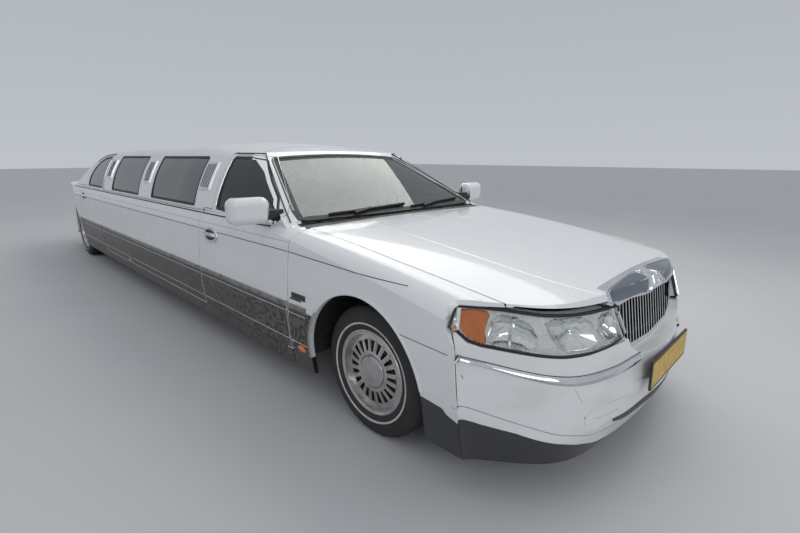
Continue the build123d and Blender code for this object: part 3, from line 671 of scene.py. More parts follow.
# %% Rolled edges of the arches
LIP_OUT, STRIP_OUT = 0.006, 0.007
LIP_ENDS = {"front": 142, "rear": 180}    # degrees; the bumper cuts the front arch short
for hand, side in HANDS:
    for end, (centre, radius) in ARCHES.items():
        turn = steps(math.radians(12), math.radians(LIP_ENDS[end]), 0.07)
        run = landed(on_side(panel_skin(hand, FLANK_SOLIDS), side, centre + (radius + LIP_OUT) * math.cos(a),
                             TYRE_R + (radius + LIP_OUT) * math.sin(a)) for a in turn)
        sweep(f"arch_lip_{end}_{hand}", run, dome(0.015, 0.0045), white, "body")
    run = landed(on_side(skin("front_fenders"), side, arch_edge(z, "front", STRIP_OUT, -1), z)
                 for z in steps(CLAD_LOW, CLAD_HIGH + 0.002, 0.02))
    sweep(f"arch_strip_{hand}", run, dome(0.011, 0.0055), alloy, "body")
    run = [on_side(skin(f"front_door_{hand}"), side, -0.596, z)
           for z in steps(CLAD_LOW + 0.002, CLAD_HIGH, 0.04)]
    sweep(f"clad_edge_{hand}", run, dome(0.005, 0.005), chrome, f"front_door_{hand}")
print("arches edged")

# %% [markdown]
# ### Seams
# The gap round a moving panel is five millimetres wide. On the car a rubber seal closes it, and without
# one the light cabin would show through. A dark strip a little narrower lies in the gap, just under the
# skin, and moves with the panel. Where two fixed panels meet, a fine dark line marks the joint.

# %% Helper: a seam along a path
SEAL = [(-0.0022, -0.014), (-0.0022, -0.0015), (0.0022, -0.0015), (0.0022, -0.014)]
LINE = [(-0.0016, -0.002), (-0.0016, 0.0006), (0.0016, 0.0006), (0.0016, -0.002)]
BESIDE = 0.010         # how far to each side of the seam the skin is felt
STEP_UP = 0.012        # with more difference than this, the outer side counts alone
VIEWS = {
    # a point of a path seen from one side becomes the start of a ray and its heading
    "side": lambda p, side: ((XF + p.x, side * 2, p.y), (0, -side, 0)),
    "top": lambda p, side: ((XF + p.x, side * p.y, 3), (0, 0, -1)),
    "rear": lambda p, side: ((-6, side * p.x, p.y), (1, 0, 0)),
}


def seam(name, tree, path, view, side, profile, body, pitch=0.03):
    """A strip along a path of 2-D points. The skin on both sides of the path gives its depth."""
    spots, run = [Vector(path[0])], []
    for a, b in zip(path, path[1:]):
        a, b = Vector(a), Vector(b)
        parts = max(1, round((b - a).length / pitch))
        spots += [a + (b - a) * (k + 1) / parts for k in range(parts)]
    for i, p in enumerate(spots):
        along = spots[min(i + 1, len(spots) - 1)] - spots[max(i - 1, 0)]
        aside = Vector((-along.y, along.x)).normalized() * BESIDE
        start, heading = (Vector(v) for v in VIEWS[view](p, side))
        hits = landed(land(tree, VIEWS[view](p + aside * s, side)[0], heading) for s in (1, -1))
        hits = [((place - start).dot(heading), normal) for place, normal in hits]
        if len(hits) == 2 and abs(hits[0][0] - hits[1][0]) > STEP_UP:
            hits = [min(hits, key=lambda hit: hit[0])]
        if hits:
            depth = sum(d for d, _ in hits) / len(hits)
            run.append((start + heading * depth, sum((n for _, n in hits), Vector()).normalized()))
    if len(run) > 1:
        sweep(name, run, profile, seam_dark if profile is LINE else rubber, body)


print("views a seam can be drawn in:", ", ".join(VIEWS))

# %% Dark seams between the panels
NOSE_TOP = ("hood", "front_fenders", "cowl", "front_door", "front_bumper")
LID_TOP = ("trunk_lid", "rear_quarters", "rear_window", "roof")
LID_REAR = ("trunk_lid", "rear_quarters", "rear_bumper", "tail_lamps")
REAR_CORNER = ("tail_lamps", "rear_quarters", "rear_bumper")
SEAMS = [
    # name, view, solids beside it, profile, body that carries it, path in that view
    ("front_door", "side", FLANK_SOLIDS, SEAL, "front_door", [(-0.5855, 0.302), (-0.5855, 0.985)]),
    ("front_door_rear", "side", FLANK_SOLIDS, SEAL, "front_door",
     [(-1.7715, 0.302), (-1.7715, 1.0055), (-1.6632, 1.0055), (-1.6595, 1.20), (-1.6436, 1.3905),
      (-1.399, 1.3905), (-0.716, 1.0035)]),
    ("rear_door", "side", FLANK_SOLIDS, SEAL, "rear_door",
     [(-4.5575, 0.302), (-4.5575, 1.0055), (-4.5975, 1.0055), (-4.5975, 1.3905), (-4.960, 1.3745),
      (-5.1915, 1.3275), (-5.3465, 1.237), (-5.422, 1.1315), (-5.4425, 1.0055), (-5.5625, 1.0055),
      (-5.5625, 0.302)]),
    ("hood", "top", NOSE_TOP, SEAL, "hood", [(-0.630, 0.8145), (0.120, 0.8245), (0.668, 0.8092)]),
    ("cowl", "top", NOSE_TOP, SEAL, "front_door", [(-0.600, 0.8335), (-0.700, 0.8335)]),
    ("hood_rear", "top", NOSE_TOP, SEAL, "hood", [(-0.594, 0.0), (-0.594, 0.80)]),
    ("lid", "top", LID_TOP, SEAL, "trunk_lid", [(-6.542, 0.0), (-6.542, 0.6925), (-7.07, 0.6925)]),
    ("lid_rear", "rear", LID_REAR, SEAL, "trunk_lid",
     [(0.6925, 0.8695), (0.4675, 0.8695), (0.4675, 0.6125), (0.0, 0.6125)]),
    ("bumper", "side", ("front_bumper", "front_fenders", "headlamps"), LINE, "body",
     [(0.264, 0.645), (0.540, 0.634)]),
    ("tail_lamp", "side", REAR_CORNER, LINE, "body", [(-7.078, 0.625), (-7.078, 0.865)]),
    ("rear_bumper", "side", REAR_CORNER, LINE, "body", [(-6.738, 0.260), (-6.738, 0.600)]),
]
for hand, side in HANDS:
    for name, view, stems, profile, body, path in SEAMS:
        seam(f"seam_{name}_{hand}", panel_skin(hand, stems), path, view, side, profile, handed(hand, body))
print("seams laid:", len(HANDS) * len(SEAMS))

# %% [markdown]
# ### Side windows
# Each pane sits in black rubber. It could be made by thickening the pane's rim, but rubber lies on the
# panel and not on the glass. So it is a closed loop swept round the opening on the panel's skin, and
# reaches a little way over the glass. The doors add a bright bead outside it.

# %% Rubber round the side windows
WINDOWS = {
    # name: outline of the opening, as (distance from the front axle, height)
    "front_door": [(-1.594, 1.014), (-1.594, 1.354), (-1.404, 1.354), (-1.330, 1.334), (-1.240, 1.281),
                   (-1.110, 1.206), (-0.945, 1.113), (-0.790, 1.014)],
    "rear_door": [(-5.330, 1.014), (-5.312, 1.110), (-5.245, 1.200), (-5.110, 1.284), (-4.920, 1.334),
                  (-4.652, 1.352), (-4.652, 1.014)],
    "long_1": [(-1.972, 1.014), (-1.972, 1.354), (-2.933, 1.354), (-2.933, 1.014)],
    "long_2": [(-3.322, 1.014), (-3.322, 1.354), (-4.222, 1.354), (-4.222, 1.014)],
}
GASKET = [(-0.007, -0.002), (-0.007, 0.0015), (-0.001, 0.003), (0.006, 0.0015), (0.017, -0.003),
          (0.017, -0.006), (0.005, -0.007)]
BELOW_SILL = 1.0       # a height just under the windows, where the panel is whole


def window_loop(tree, side, outline, push, radius, pitch=0.02):
    """Landings round an opening, a little outside its edge."""
    return landed(on_side(tree, side, p.x, p.y) for p in pushed(rounded(outline, radius, pitch), push))


for hand, side in HANDS:
    for name, outline in WINDOWS.items():
        on_door = name.endswith("door")
        tree = skin(f"{name}_{hand}" if on_door else "body_sides", "roof")
        body = f"{name}_{hand}" if on_door else "body"
        middle = sum((Vector(p) for p in outline), Vector((0, 0))) / len(outline)
        panel = on_side(panel_skin(hand, FLANK_SOLIDS), side, middle.x, BELOW_SILL)[0]
        toward = Vector((XF + middle.x, panel.y, middle.y))
        seal = window_loop(tree, side, outline, 0.006, 0.012)
        sweep(f"window_rubber_{name}_{hand}", seal, GASKET, rubber, body, True, toward)
        if on_door:
            bead = window_loop(tree, side, outline, 0.019, 0.03)
            sweep(f"window_bead_{name}_{hand}", bead, dome(0.006, 0.004), chrome, body, True, toward)
print("window seals made")

# %% [markdown]
# ### Front and back glass
# Both panes have a black band baked round the edge, a rubber and a bright moulding outside it. These
# lean with the glass, so rays are shot at the pane along the car instead of from its side. The
# windscreen's moulding runs up its two sides only, and the back glass has it all round.

# %% Bands and mouldings of the front and back glass
SCREEN_BAND = [(-0.006, 0.0), (-0.006, 0.0012), (0.020, 0.0012), (0.020, 0.0)]
SCREEN_RUBBER = [(-0.028, 0.001), (-0.028, 0.006), (-0.006, 0.006), (-0.003, 0.0), (-0.028, -0.004)]
SCREEN_BEAD = [(-0.022, 0.003), (-0.022, 0.008), (-0.014, 0.009), (-0.012, 0.003)]


def pane_loop(node, heading, outline, pull):
    """Landings round a pane, a little inside its outline of (across, height)."""
    run = pushed(rounded(outline, 0.03, 0.03), -pull)
    return landed(land(skin(node), (heading * 6, p.x, p.y), (-heading, 0, 0)) for p in run)


def arc_row(half, z_end, z_mid, count=9):
    """Points across the car on a flat arch, from right to left."""
    return [(half * t, z_mid + (z_end - z_mid) * t * t) for t in steps(-1, 1, 2 / (count - 1))]


SCREENS = {
    # pane: which way it faces, its lower and upper edge
    "windscreen": (1, arc_row(0.815, 1.000, 1.0005) + arc_row(0.590, 1.352, 1.376)[::-1]),
    "rear_window": (-1, arc_row(0.735, 1.045, 1.042) + arc_row(0.575, 1.310, 1.332)[::-1]),
}
for name, (heading, outline) in SCREENS.items():
    toward = sum(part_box(name), Vector()) / 2
    loop = pane_loop(name, heading, outline, 0.010)
    sweep(f"{name}_band", loop, SCREEN_BAND, rubber, "body", True, toward)
    sweep(f"{name}_rubber", loop, SCREEN_RUBBER, rubber, "body", True, toward)
    if name == "rear_window":
        sweep(f"{name}_moulding", loop, SCREEN_BEAD, chrome, "body", True, toward)
    else:
        for hand, side in HANDS:
            run = sorted((hit for hit in loop if hit[0].y * side > 0.575 and 1.012 < hit[0].z < 1.348),
                         key=lambda hit: hit[0].z)
            sweep(f"{name}_moulding_{hand}", run, SCREEN_BEAD, chrome, "body", False, toward)
print("screens trimmed")

# %% [markdown]
# ### The roof cap's seam
# Where the long roof meets the header over the windscreen, sealer has been dabbed across the joint. The
# dabs are short sweeps over the roof, gathered into one mesh so that they stay one piece.

# %% Dashes of sealer across the roof
DABS, CAP_HALF, CAP_X, CAP_BOW = 44, 0.58, -1.715, 0.25
parts = ([], [])
for k in range(DABS):
    across = [-CAP_HALF + 2 * CAP_HALF * (k + t) / DABS for t in (0.0, 0.28, 0.55)]
    run = [land(skin("roof"), (XF + CAP_X + CAP_BOW * (y / 0.57) ** 2, y, 3), (0, 0, -1)) for y in across]
    sweep("dash", run, dome(0.006, 0.0016), stripe_grey, "body", parts=parts)
piece("roof_cap_seam", *parts, stripe_grey, "body")
print("dabs of sealer:", DABS)

# %% [markdown]
# ### Wipers
# Two arms lie at the foot of the windscreen. An arm is a flat bar, the blade a thin rubber edge in a
# slim holder. Straight bars would cut into the curved glass, so both are swept over it at a small lift.

# %% Wipers
WIPERS = [
    # side, foot of the arm and both ends of the blade, as (across the car, height)
    ("right", (-0.42, 1.004), (-0.60, 1.012), (0.06, 1.030)),
    ("left", (0.22, 1.004), (0.10, 1.012), (0.70, 1.030)),
]
BLADE_LIFT, ARM_LIFT = 0.010, 0.020
screen_skin = skin("windscreen", "cowl", "roof")


def along_screen(start, stop, lift, count=14):
    """Landings on the glass between two (across, height) points, lifted off it."""
    shares = [k / (count - 1) for k in range(count)]
    spots = [[a + (b - a) * t for a, b in zip(start, stop)] for t in shares]
    hits = landed(land(screen_skin, (6, y, z), (-1, 0, 0)) for y, z in spots)
    return [(place + normal * lift, normal) for place, normal in hits]


for name, pivot, outer, inner in WIPERS:
    blade = along_screen(outer, inner, BLADE_LIFT)
    sweep(f"wiper_blade_{name}", blade, dome(0.014, 0.012, 0.006), rubber, "body")
    middle = ((outer[0] + inner[0]) / 2, (outer[1] + inner[1]) / 2)
    arm = along_screen(pivot, middle, ARM_LIFT)
    sweep(f"wiper_arm_{name}", arm, dome(0.018, 0.008, 0.004), black_plastic, "body")
print("wipers:", len(WIPERS))

# %% [markdown]
# ## The lamps at the nose
# A headlamp here is a deep clear lens that wraps the corner, an amber winker at its rear end, and two
# large bowls with a small one beside the grille, all set in a pale bezel. A place on the lens is given
# by an angle round a vertical line inside the fender and a height, which unrolls the curved lens.

# %% Measured lines of the lamp
LAMP_AXIS = (0.25, 0.25)    # ahead of the front axle, and out from the middle of the car


def lamp_angle(x, y):
    """The angle of a place round the lamp's axis, in degrees: 0 is straight ahead."""
    return math.degrees(math.atan2(y - LAMP_AXIS[1], x - LAMP_AXIS[0]))


def unrolled(points):
    """Measured places (x, y, z) on the lens, as angle and height."""
    return [Vector((lamp_angle(x, abs(y)), z)) for x, y, z in points]


# Every place below was measured as (ahead of the front axle, out from the middle, height).
LENS_TOP = [(0.511, 0.936, 0.794), (0.52, 0.918, 0.806), (0.591, 0.866, 0.803), (0.669, 0.814, 0.799),
            (0.729, 0.772, 0.791), (0.785, 0.723, 0.783), (0.845, 0.641, 0.778), (0.884, 0.552, 0.776),
            (0.913, 0.447, 0.776), (0.936, 0.384, 0.776)]
LENS_FOOT = [(0.517, 0.944, 0.762), (0.540, 0.938, 0.714), (0.575, 0.918, 0.682), (0.615, 0.891, 0.668),
             (0.709, 0.829, 0.655), (0.798, 0.762, 0.641), (0.862, 0.690, 0.632), (0.914, 0.587, 0.630),
             (0.948, 0.469, 0.636), (0.962, 0.384, 0.660)]
AMBER = [(0.529, 0.919, 0.780), (0.537, 0.908, 0.791), (0.567, 0.885, 0.794), (0.612, 0.856, 0.789),
         (0.625, 0.850, 0.778), (0.618, 0.862, 0.743), (0.620, 0.873, 0.705), (0.632, 0.876, 0.668),
         (0.608, 0.894, 0.676), (0.575, 0.913, 0.690), (0.547, 0.927, 0.722), (0.532, 0.926, 0.756)]
BOWLS = {
    "outer": [(0.632, 0.868, 0.705), (0.634, 0.852, 0.754), (0.650, 0.836, 0.775), (0.688, 0.808, 0.778),
              (0.735, 0.778, 0.763), (0.769, 0.760, 0.732), (0.788, 0.757, 0.694), (0.787, 0.769, 0.668),
              (0.768, 0.786, 0.657), (0.724, 0.819, 0.657), (0.678, 0.850, 0.662), (0.645, 0.868, 0.672)],
    "inner": [(0.798, 0.722, 0.750), (0.812, 0.700, 0.765), (0.848, 0.645, 0.767), (0.879, 0.582, 0.761),
              (0.900, 0.543, 0.738), (0.918, 0.527, 0.695), (0.925, 0.535, 0.662), (0.914, 0.572, 0.649),
              (0.894, 0.633, 0.645), (0.865, 0.683, 0.651), (0.842, 0.708, 0.675), (0.815, 0.722, 0.716)],
    "small": [(0.910, 0.502, 0.740), (0.914, 0.480, 0.753), (0.923, 0.437, 0.755), (0.934, 0.412, 0.736),
              (0.950, 0.400, 0.692), (0.957, 0.412, 0.664), (0.950, 0.451, 0.657), (0.938, 0.495, 0.664),
              (0.920, 0.516, 0.697)],
}
LENS_REACH = 0.72      # how far the lens lies from the axis, where a ray slips past it
lamp_skin = skin("headlamps")


def on_lamp(side, angle, z, depth=0.0):
    """Place on the lens at an angle and a height, sunk by a depth."""
    out = Vector((math.cos(math.radians(angle)), side * math.sin(math.radians(angle)), 0))
    foot = Vector((XF + LAMP_AXIS[0], side * LAMP_AXIS[1], z))
    hit = land(lamp_skin, foot + out * 1.6, -out)
    place = hit[0] if hit else lamp_skin.find_nearest(foot + out * LENS_REACH)[0]
    return place - out * depth, out


def edge_at(line, angle):
    """Height of a lens edge at an angle, read off its measured places."""
    spots = sorted((p.x, p.y) for p in unrolled(line))
    for (a, za), (b, zb) in zip(spots, spots[1:]):
        if a <= angle <= b:
            return za + (zb - za) * (angle - a) / max(b - a, 1e-6)
    return spots[0][1] if angle < spots[0][0] else spots[-1][1]


def inside(point, loop):
    """Whether a 2-D point is inside a closed loop."""
    odd = False
    for a, b in zip(loop, loop[1:] + loop[:1]):
        if (a.y > point.y) != (b.y > point.y):
            crossing = (b.x - a.x) * (point.y - a.y) / (b.y - a.y) + a.x
            odd = odd != (point.x < crossing)
    return odd


ANGLE_IN = lamp_angle(0.950, 0.384)
ANGLE_OUT = lamp_angle(0.521, 0.933)
print("lamp spans", round(ANGLE_IN, 1), "to", round(ANGLE_OUT, 1), "degrees")

# %% [markdown]
# ### Lens, bezel and bowls
# The lens and the bezel are grids between the measured upper and lower edges. The bezel leaves out the
# cells over each bowl, whose rolled rim then covers the ragged edge of the hole. A bowl is made of rings
# that shrink towards its middle while they sink, like a shallow dish pressed from sheet.

# %% Lamp builder: a sheet behind the lens
SIDE_TRIM = 40         # degrees that a metre of inset takes off each end of the lamp


def lamp_grid(name, side, depth, mat, holes=(), inset=0.0, columns=84, rows=16, thick=0.003):
    """A sheet shaped like the lens, sunk by a depth, without the cells over the holes."""
    first, last = ANGLE_IN + inset * SIDE_TRIM, ANGLE_OUT - inset * SIDE_TRIM
    spots = []
    for angle in [first + (last - first) * i / columns for i in range(columns + 1)]:
        foot, top = edge_at(LENS_FOOT, angle) + inset, edge_at(LENS_TOP, angle) - inset
        spots += [(angle, foot + (top - foot) * j / rows) for j in range(rows + 1)]
    keep = []
    for i in range(columns):
        for j in range(rows):
            a = i * (rows + 1) + j
            quad = [a, a + 1, a + rows + 2, a + rows + 1]
            middle = sum((Vector(spots[k]) for k in quad), Vector((0, 0))) / 4
            if not any(inside(middle, hole) for hole in holes):
                keep.append(quad)
    uses = {}
    for quad in keep:
        for a, b in zip(quad, quad[1:] + quad[:1]):
            uses[min(a, b), max(a, b)] = uses.get((min(a, b), max(a, b)), 0) + 1
    flat = [on_lamp(side, angle, z, depth) for angle, z in spots]
    total = len(flat)
    places = [p for p, _ in flat] + [p - n * thick for p, n in flat]
    faces = keep + [[total + k for k in reversed(q)] for q in keep]
    faces += [[a, b, total + b, total + a] for (a, b), count in uses.items() if count == 1]
    used = sorted({k for f in faces for k in f})
    index = {k: n for n, k in enumerate(used)}
    return piece(name, [places[k] for k in used], [[index[k] for k in f] for f in faces], mat, "body", 50)


print("lens is", round(edge_at(LENS_TOP, 45) - edge_at(LENS_FOOT, 45), 3), "tall at its middle")

# %% Lamp builder: a bowl
def lamp_dish(name, side, loop, rim_depth, heart_depth, mat, rings=7):
    """A bowl inside a closed loop of (angle, height), with a rolled rim."""
    run = rounded([tuple(p) for p in loop], 2.5, 1.2)
    middle = sum(run, Vector((0, 0))) / len(run)
    levels = [(1.036, rim_depth + 0.006), (1.016, rim_depth - 0.002), (1.0, rim_depth)]
    for share in [1 - k / rings for k in range(1, rings)]:
        levels.append((share, rim_depth + (heart_depth - rim_depth) * (1 - share ** 2.4)))
    corners = [on_lamp(side, *(middle + (p - middle) * share), depth)[0]
               for share, depth in levels for p in run]
    corners.append(on_lamp(side, *middle, heart_depth)[0])
    return piece(name, corners, dish_faces(len(levels), len(run)), mat, "body", 50), middle


print("bowls in each lamp:", ", ".join(BOWLS))

# %% Build both headlamps
LAMP_SEAL = [(-0.007, -0.012), (-0.007, 0.0005), (-0.002, 0.002), (0.003, 0.001), (0.003, -0.012)]
LAMP_WALL = [(0.0, -0.064), (0.0, -0.004), (0.003, -0.004), (0.003, -0.064)]
BULB = [(0.007 * math.cos(math.tau * k / 10), 0.007 * math.sin(math.tau * k / 10)) for k in range(10)]
BEZEL_DEPTH, BACK_DEPTH = 0.016, 0.066
BOWL_DEPTH = {"outer": 0.055, "inner": 0.055, "small": 0.040}
for hand, side in HANDS:
    holes = [unrolled(AMBER)] + [unrolled(outline) for outline in BOWLS.values()]
    lens = lamp_grid(f"headlamp_lens_{hand}", side, 0.0, lens_clear)
    lamp_grid(f"headlamp_bezel_{hand}", side, BEZEL_DEPTH, bezel, holes, 0.003)
    lamp_grid(f"headlamp_back_{hand}", side, BACK_DEPTH, bezel, (), 0.002, 40, 8)
    lamp_dish(f"winker_{hand}", side, unrolled(AMBER), 0.010, 0.007, amber_lens)
    for name, outline in BOWLS.items():
        deep = BOWL_DEPTH[name]
        _, middle = lamp_dish(f"headlamp_{name}_bowl_{hand}", side, unrolled(outline), 0.014, deep, reflector)
        heart, out = on_lamp(side, *middle, deep)
        stem = [(heart + out * (0.004 + 0.03 * k / 5), Vector((0, 0, 1))) for k in range(6)]
        sweep(f"headlamp_{name}_bulb_{hand}", stem, BULB, chrome, "body")
    loop = [(a, edge_at(LENS_FOOT, a)) for a in steps(ANGLE_IN, ANGLE_OUT, 1.2)]
    loop += [(a, edge_at(LENS_TOP, a)) for a in steps(ANGLE_OUT, ANGLE_IN, 1.2)]
    edge = [on_lamp(side, a, z) for a, z in loop]
    middle = sum((p for p, _ in edge), Vector()) / len(edge)
    sweep(f"headlamp_seal_{hand}", edge, LAMP_SEAL, rubber, "body", True, middle)
    sweep(f"headlamp_wall_{hand}", edge, LAMP_WALL, bezel, "body", True, middle)
    last = ANGLE_OUT - 1.0
    heights = steps(edge_at(LENS_FOOT, last) + 0.003, edge_at(LENS_TOP, last) - 0.003, 0.012)
    band = [on_lamp(side, last, z) for z in heights]
    sweep(f"headlamp_end_{hand}", band, dome(0.018, 0.0015, 0.004), bezel, "body")
    if hand == "right":
        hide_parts("headlamps")
print("headlamps built")

# %% [markdown]
# ## Bumper trims and plates
# A bright strip wraps each front corner, thin at the wheel and deep near the middle, and a fine grey
# line follows the crease of the bumper's lower lip as painted shade of that crease. Both were measured
# at a few places. A smooth curve is laid through those, and each place on it is then moved to the
# skin, because the measures are a few millimetres off.

# %% Bumper strips, front
STRIP = [
    # ahead of the front axle, out from the middle, height, depth of the strip
    (0.552, 0.953, 0.616, 0.013), (0.573, 0.926, 0.603, 0.015), (0.652, 0.872, 0.585, 0.018),
    (0.731, 0.821, 0.567, 0.022), (0.805, 0.764, 0.550, 0.025), (0.858, 0.708, 0.537, 0.030),
    (0.900, 0.644, 0.5275, 0.033), (0.9375, 0.547, 0.522, 0.035), (0.970, 0.425, 0.5215, 0.036),
    (0.995, 0.324, 0.5355, 0.036), (1.006, 0.270, 0.544, 0.030),
]
LIP_SHADE_LINE = [(0.552, 0.958, 0.422), (0.603, 0.922, 0.407), (0.700, 0.858, 0.377), (0.794, 0.793, 0.350),
       (0.866, 0.725, 0.321), (0.913, 0.650, 0.301), (0.952, 0.490, 0.262), (0.980, 0.250, 0.250),
       (0.990, 0.000, 0.248)]
bumper_skin = skin("front_bumper", "front_fenders")


def smooth_line(points, parts=6):
    """A curve through points of any size, four points at a time."""
    out = []
    for i in range(len(points) - 1):
        p0, p1, p2, p3 = (Vector(points[min(max(i + k, 0), len(points) - 1)]) for k in (-1, 0, 1, 2))
        for t in [k / parts for k in range(parts)]:
            out.append(0.5 * ((2 * p1) + (p2 - p0) * t + (2 * p0 - 5 * p1 + 4 * p2 - p3) * t * t
                              + (3 * p1 - p0 - 3 * p2 + p3) * t ** 3))
    return out + [Vector(points[-1])]


def near(side, x, y, z):
    """Landing on the bumper nearest to a measured place, found from a little outside."""
    start = Vector((XF + x, side * y, z))
    out = Vector((x - 0.2, side * (y - 0.2), 0)).normalized()
    return land(bumper_skin, start + out * 0.25, -out) or (start, out)


curve = smooth_line(STRIP)


def strip_profile(t):
    """The strip's section at a share t of its length, pinched at both ends."""
    h = curve[round(t * (len(curve) - 1))].w * (0.35 if t in (0, 1) else 1) / 2
    return [(-h, -0.003), (-h, 0.004), (-h * 0.5, 0.010), (h * 0.2, 0.012), (h, 0.005), (h, -0.003)]


for hand, side in HANDS:
    run = [near(side, p.x, p.y, p.z) for p in curve]
    sweep(f"bumper_strip_{hand}", run, strip_profile, chrome, "body")
    shadow = [near(side, p.x, p.y, p.z + p.w / 2 + 0.004) for p in curve]
    sweep(f"bumper_strip_shadow_{hand}", shadow, dome(0.004, 0.0015), seam_dark, "body")
    # A fine grey line along the lower lip's crease: painted shade of the crease.
    lip = [near(side, *p) for p in smooth_line(LIP_SHADE_LINE)]
    sweep(f"bumper_lip_{hand}", lip, dome(0.004, 0.001), stripe_grey, "body")
print("front bumper trimmed")

# %% [markdown]
# ### The air slot and a few scratches
# Under the plate the bumper has a long dark slot for air, and its right corner has been scraped. The
# slot is a thin dark sheet between two measured lines. Scratches are fine ridges rather than a picture
# on the paint, so that they stay sharp however near the camera comes.

# %% Air slot and scratches
AIR_SLOT = [
    # the same place along the slot, on its upper and its lower edge
    ((0.973, 0.423, 0.301), (0.972, 0.404, 0.279)), ((0.988, 0.344, 0.296), (0.984, 0.299, 0.257)),
    ((1.004, 0.267, 0.305), (1.002, 0.206, 0.262)), ((1.019, 0.190, 0.318), (1.012, 0.130, 0.268)),
    ((1.030, 0.090, 0.325), (1.018, 0.060, 0.270)), ((1.032, 0.000, 0.326), (1.020, 0.000, 0.270)),
]
SCRATCHES = [
    [(0.898, 0.653, 0.498), (0.910, 0.636, 0.463), (0.920, 0.618, 0.430)],
    [(0.941, 0.562, 0.392), (0.935, 0.584, 0.380), (0.930, 0.601, 0.362), (0.930, 0.603, 0.329)],
    [(0.926, 0.610, 0.371), (0.931, 0.598, 0.359)],
    [(0.963, 0.477, 0.388), (0.971, 0.443, 0.388), (0.981, 0.402, 0.386), (0.996, 0.338, 0.389)],
    [(0.948, 0.541, 0.345), (0.960, 0.490, 0.337), (0.971, 0.438, 0.336), (0.982, 0.389, 0.337)],
    [(0.568, 0.939, 0.543), (0.575, 0.934, 0.527)],
]


def across_nose(half):
    """A line from the side to the middle, carried on to the other side."""
    return smooth_line(half + [(x, -y, z) for x, y, z in half[-2::-1]], 3)


edges = list(zip(*(across_nose(list(half)) for half in zip(*AIR_SLOT))))
rows = [[near(1, *(top + (foot - top) * share)) for top, foot in edges] for share in (0, 0.33, 0.67, 1)]
sheet_on("air_slot", rows, 0.0012, seam_dark, "body")
parts = ([], [])
for line in SCRATCHES:
    run = [near(-1, *p) for p in smooth_line(line, 5)]
    sweep("scratch", run, dome(0.0022 if len(line) > 2 else 0.005, 0.0006), scratch, "body", parts=parts)
piece("bumper_scratches", *parts, scratch, "body")
print("scratches:", len(SCRATCHES))

# %% [markdown]
# ### Blank plates
# A plate is a thin pressed sheet in a dark frame. Both are slabs with rounded corners, built flat round
# their middle and then set on the car. The same builder serves the front and the rear.

# %% Blank plates
PLATE_WIDE, PLATE_TALL, PLATE_RIM = 0.520, 0.110, 0.024


def plate(name, centre, heading, frame_deep, lean, body):
    """A frame and a blank plate before it, facing forward (1) or back (-1)."""
    for part, mat, rim, back, front in (("frame", black_plastic, PLATE_RIM, 0.0, frame_deep),
                                        ("face", plate_yellow, 0.0, frame_deep, frame_deep + 0.0015)):
        w, h = (PLATE_WIDE + rim) / 2, (PLATE_TALL + rim) / 2
        loop = rounded([(-w, -h), (w, -h), (w, h), (-w, h)], 0.010, 0.05)
        corners = [Vector(centre) + Vector((heading * (depth - lean * p.y), p.x, p.y))
                   for depth in (back, front) for p in loop]
        piece(f"{name}_{part}", corners, slab_faces(len(loop)), mat, body)


nose_x = land(bumper_skin, (6, 0.27, 0.466), (-1, 0, 0))[0].x
plate("front_plate", (max(nose_x, XF + 1.048) + 0.004, 0, 0.466), 1, 0.008, 0.02, "body")
print("front plate at", round(nose_x - XF, 3))

# %% [markdown]
# ## Grille
# Behind the bright bars lies a black panel, which hides the radiator. A plain slab does, since only
# narrow strips of it show between the bars. The header above the bars is one bright casting: two smoked
# fields in a raised rim on either side of a spine. Rim and fields are laid on the solid header, ring
# within ring.

# %% Grille backing
GRILLE_OPENING = [(-0.378, 0.790), (-0.368, 0.672), (-0.335, 0.600), (-0.270, 0.560), (0, 0.540),
                  (0.270, 0.560), (0.335, 0.600), (0.368, 0.672), (0.378, 0.790)]
low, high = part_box("grille")
back = [Vector((low.x - 0.012, y, z)) for y, z in GRILLE_OPENING]
ahead = [p + Vector((0.004, 0, 0)) for p in back]
piece("grille_backing", back + ahead, slab_faces(len(back)), black_plastic, "body")
print("grille bars from", round(low.x - XF, 3), "to", round(high.x - XF, 3))

# %% Crest of the header and ribs of the nose
CREST = [(0.893, 0.437, 0.834), (0.885, 0.388, 0.839), (0.880, 0.274, 0.847), (0.875, 0.088, 0.854),
         (0.890, 0.030, 0.852), (0.937, 0.045, 0.842), (0.965, 0.093, 0.793), (0.958, 0.175, 0.790),
         (0.923, 0.304, 0.771), (0.917, 0.422, 0.785), (0.905, 0.440, 0.810)]
NOSE_RIBS = [[(0.918, 0.431, 0.776), (0.938, 0.418, 0.721), (0.962, 0.403, 0.659)],
             [(0.932, 0.393, 0.759), (0.951, 0.385, 0.708), (0.966, 0.380, 0.672)]]
SPINE = [(0.872, 0, 0.856), (0.900, 0, 0.850), (0.925, 0, 0.842), (0.945, 0, 0.825), (0.958, 0, 0.800)]
FIELD_RINGS = (0.84, 0.6, 0.4, 0.2, 0.02)     # shares of the crest's outline, from its rim to its middle
header_skin = skin("grille_header")
nose_skin = skin("headlamps", "front_bumper", "grille_header", "grille")


def laid(tree, side, points):
    """Measured places moved to the skin nearest to them, with the way out of it."""
    run = []
    for x, y, z in points:
        spot, way = Vector((XF + x, side * y, z)), Vector((0.75, 0, 0.66))
        place, normal = land(tree, spot + way * 0.25, -way) or tree.find_nearest(spot)[:2]
        run.append((place, normal if normal.dot(way) > 0 else -normal))
    return run


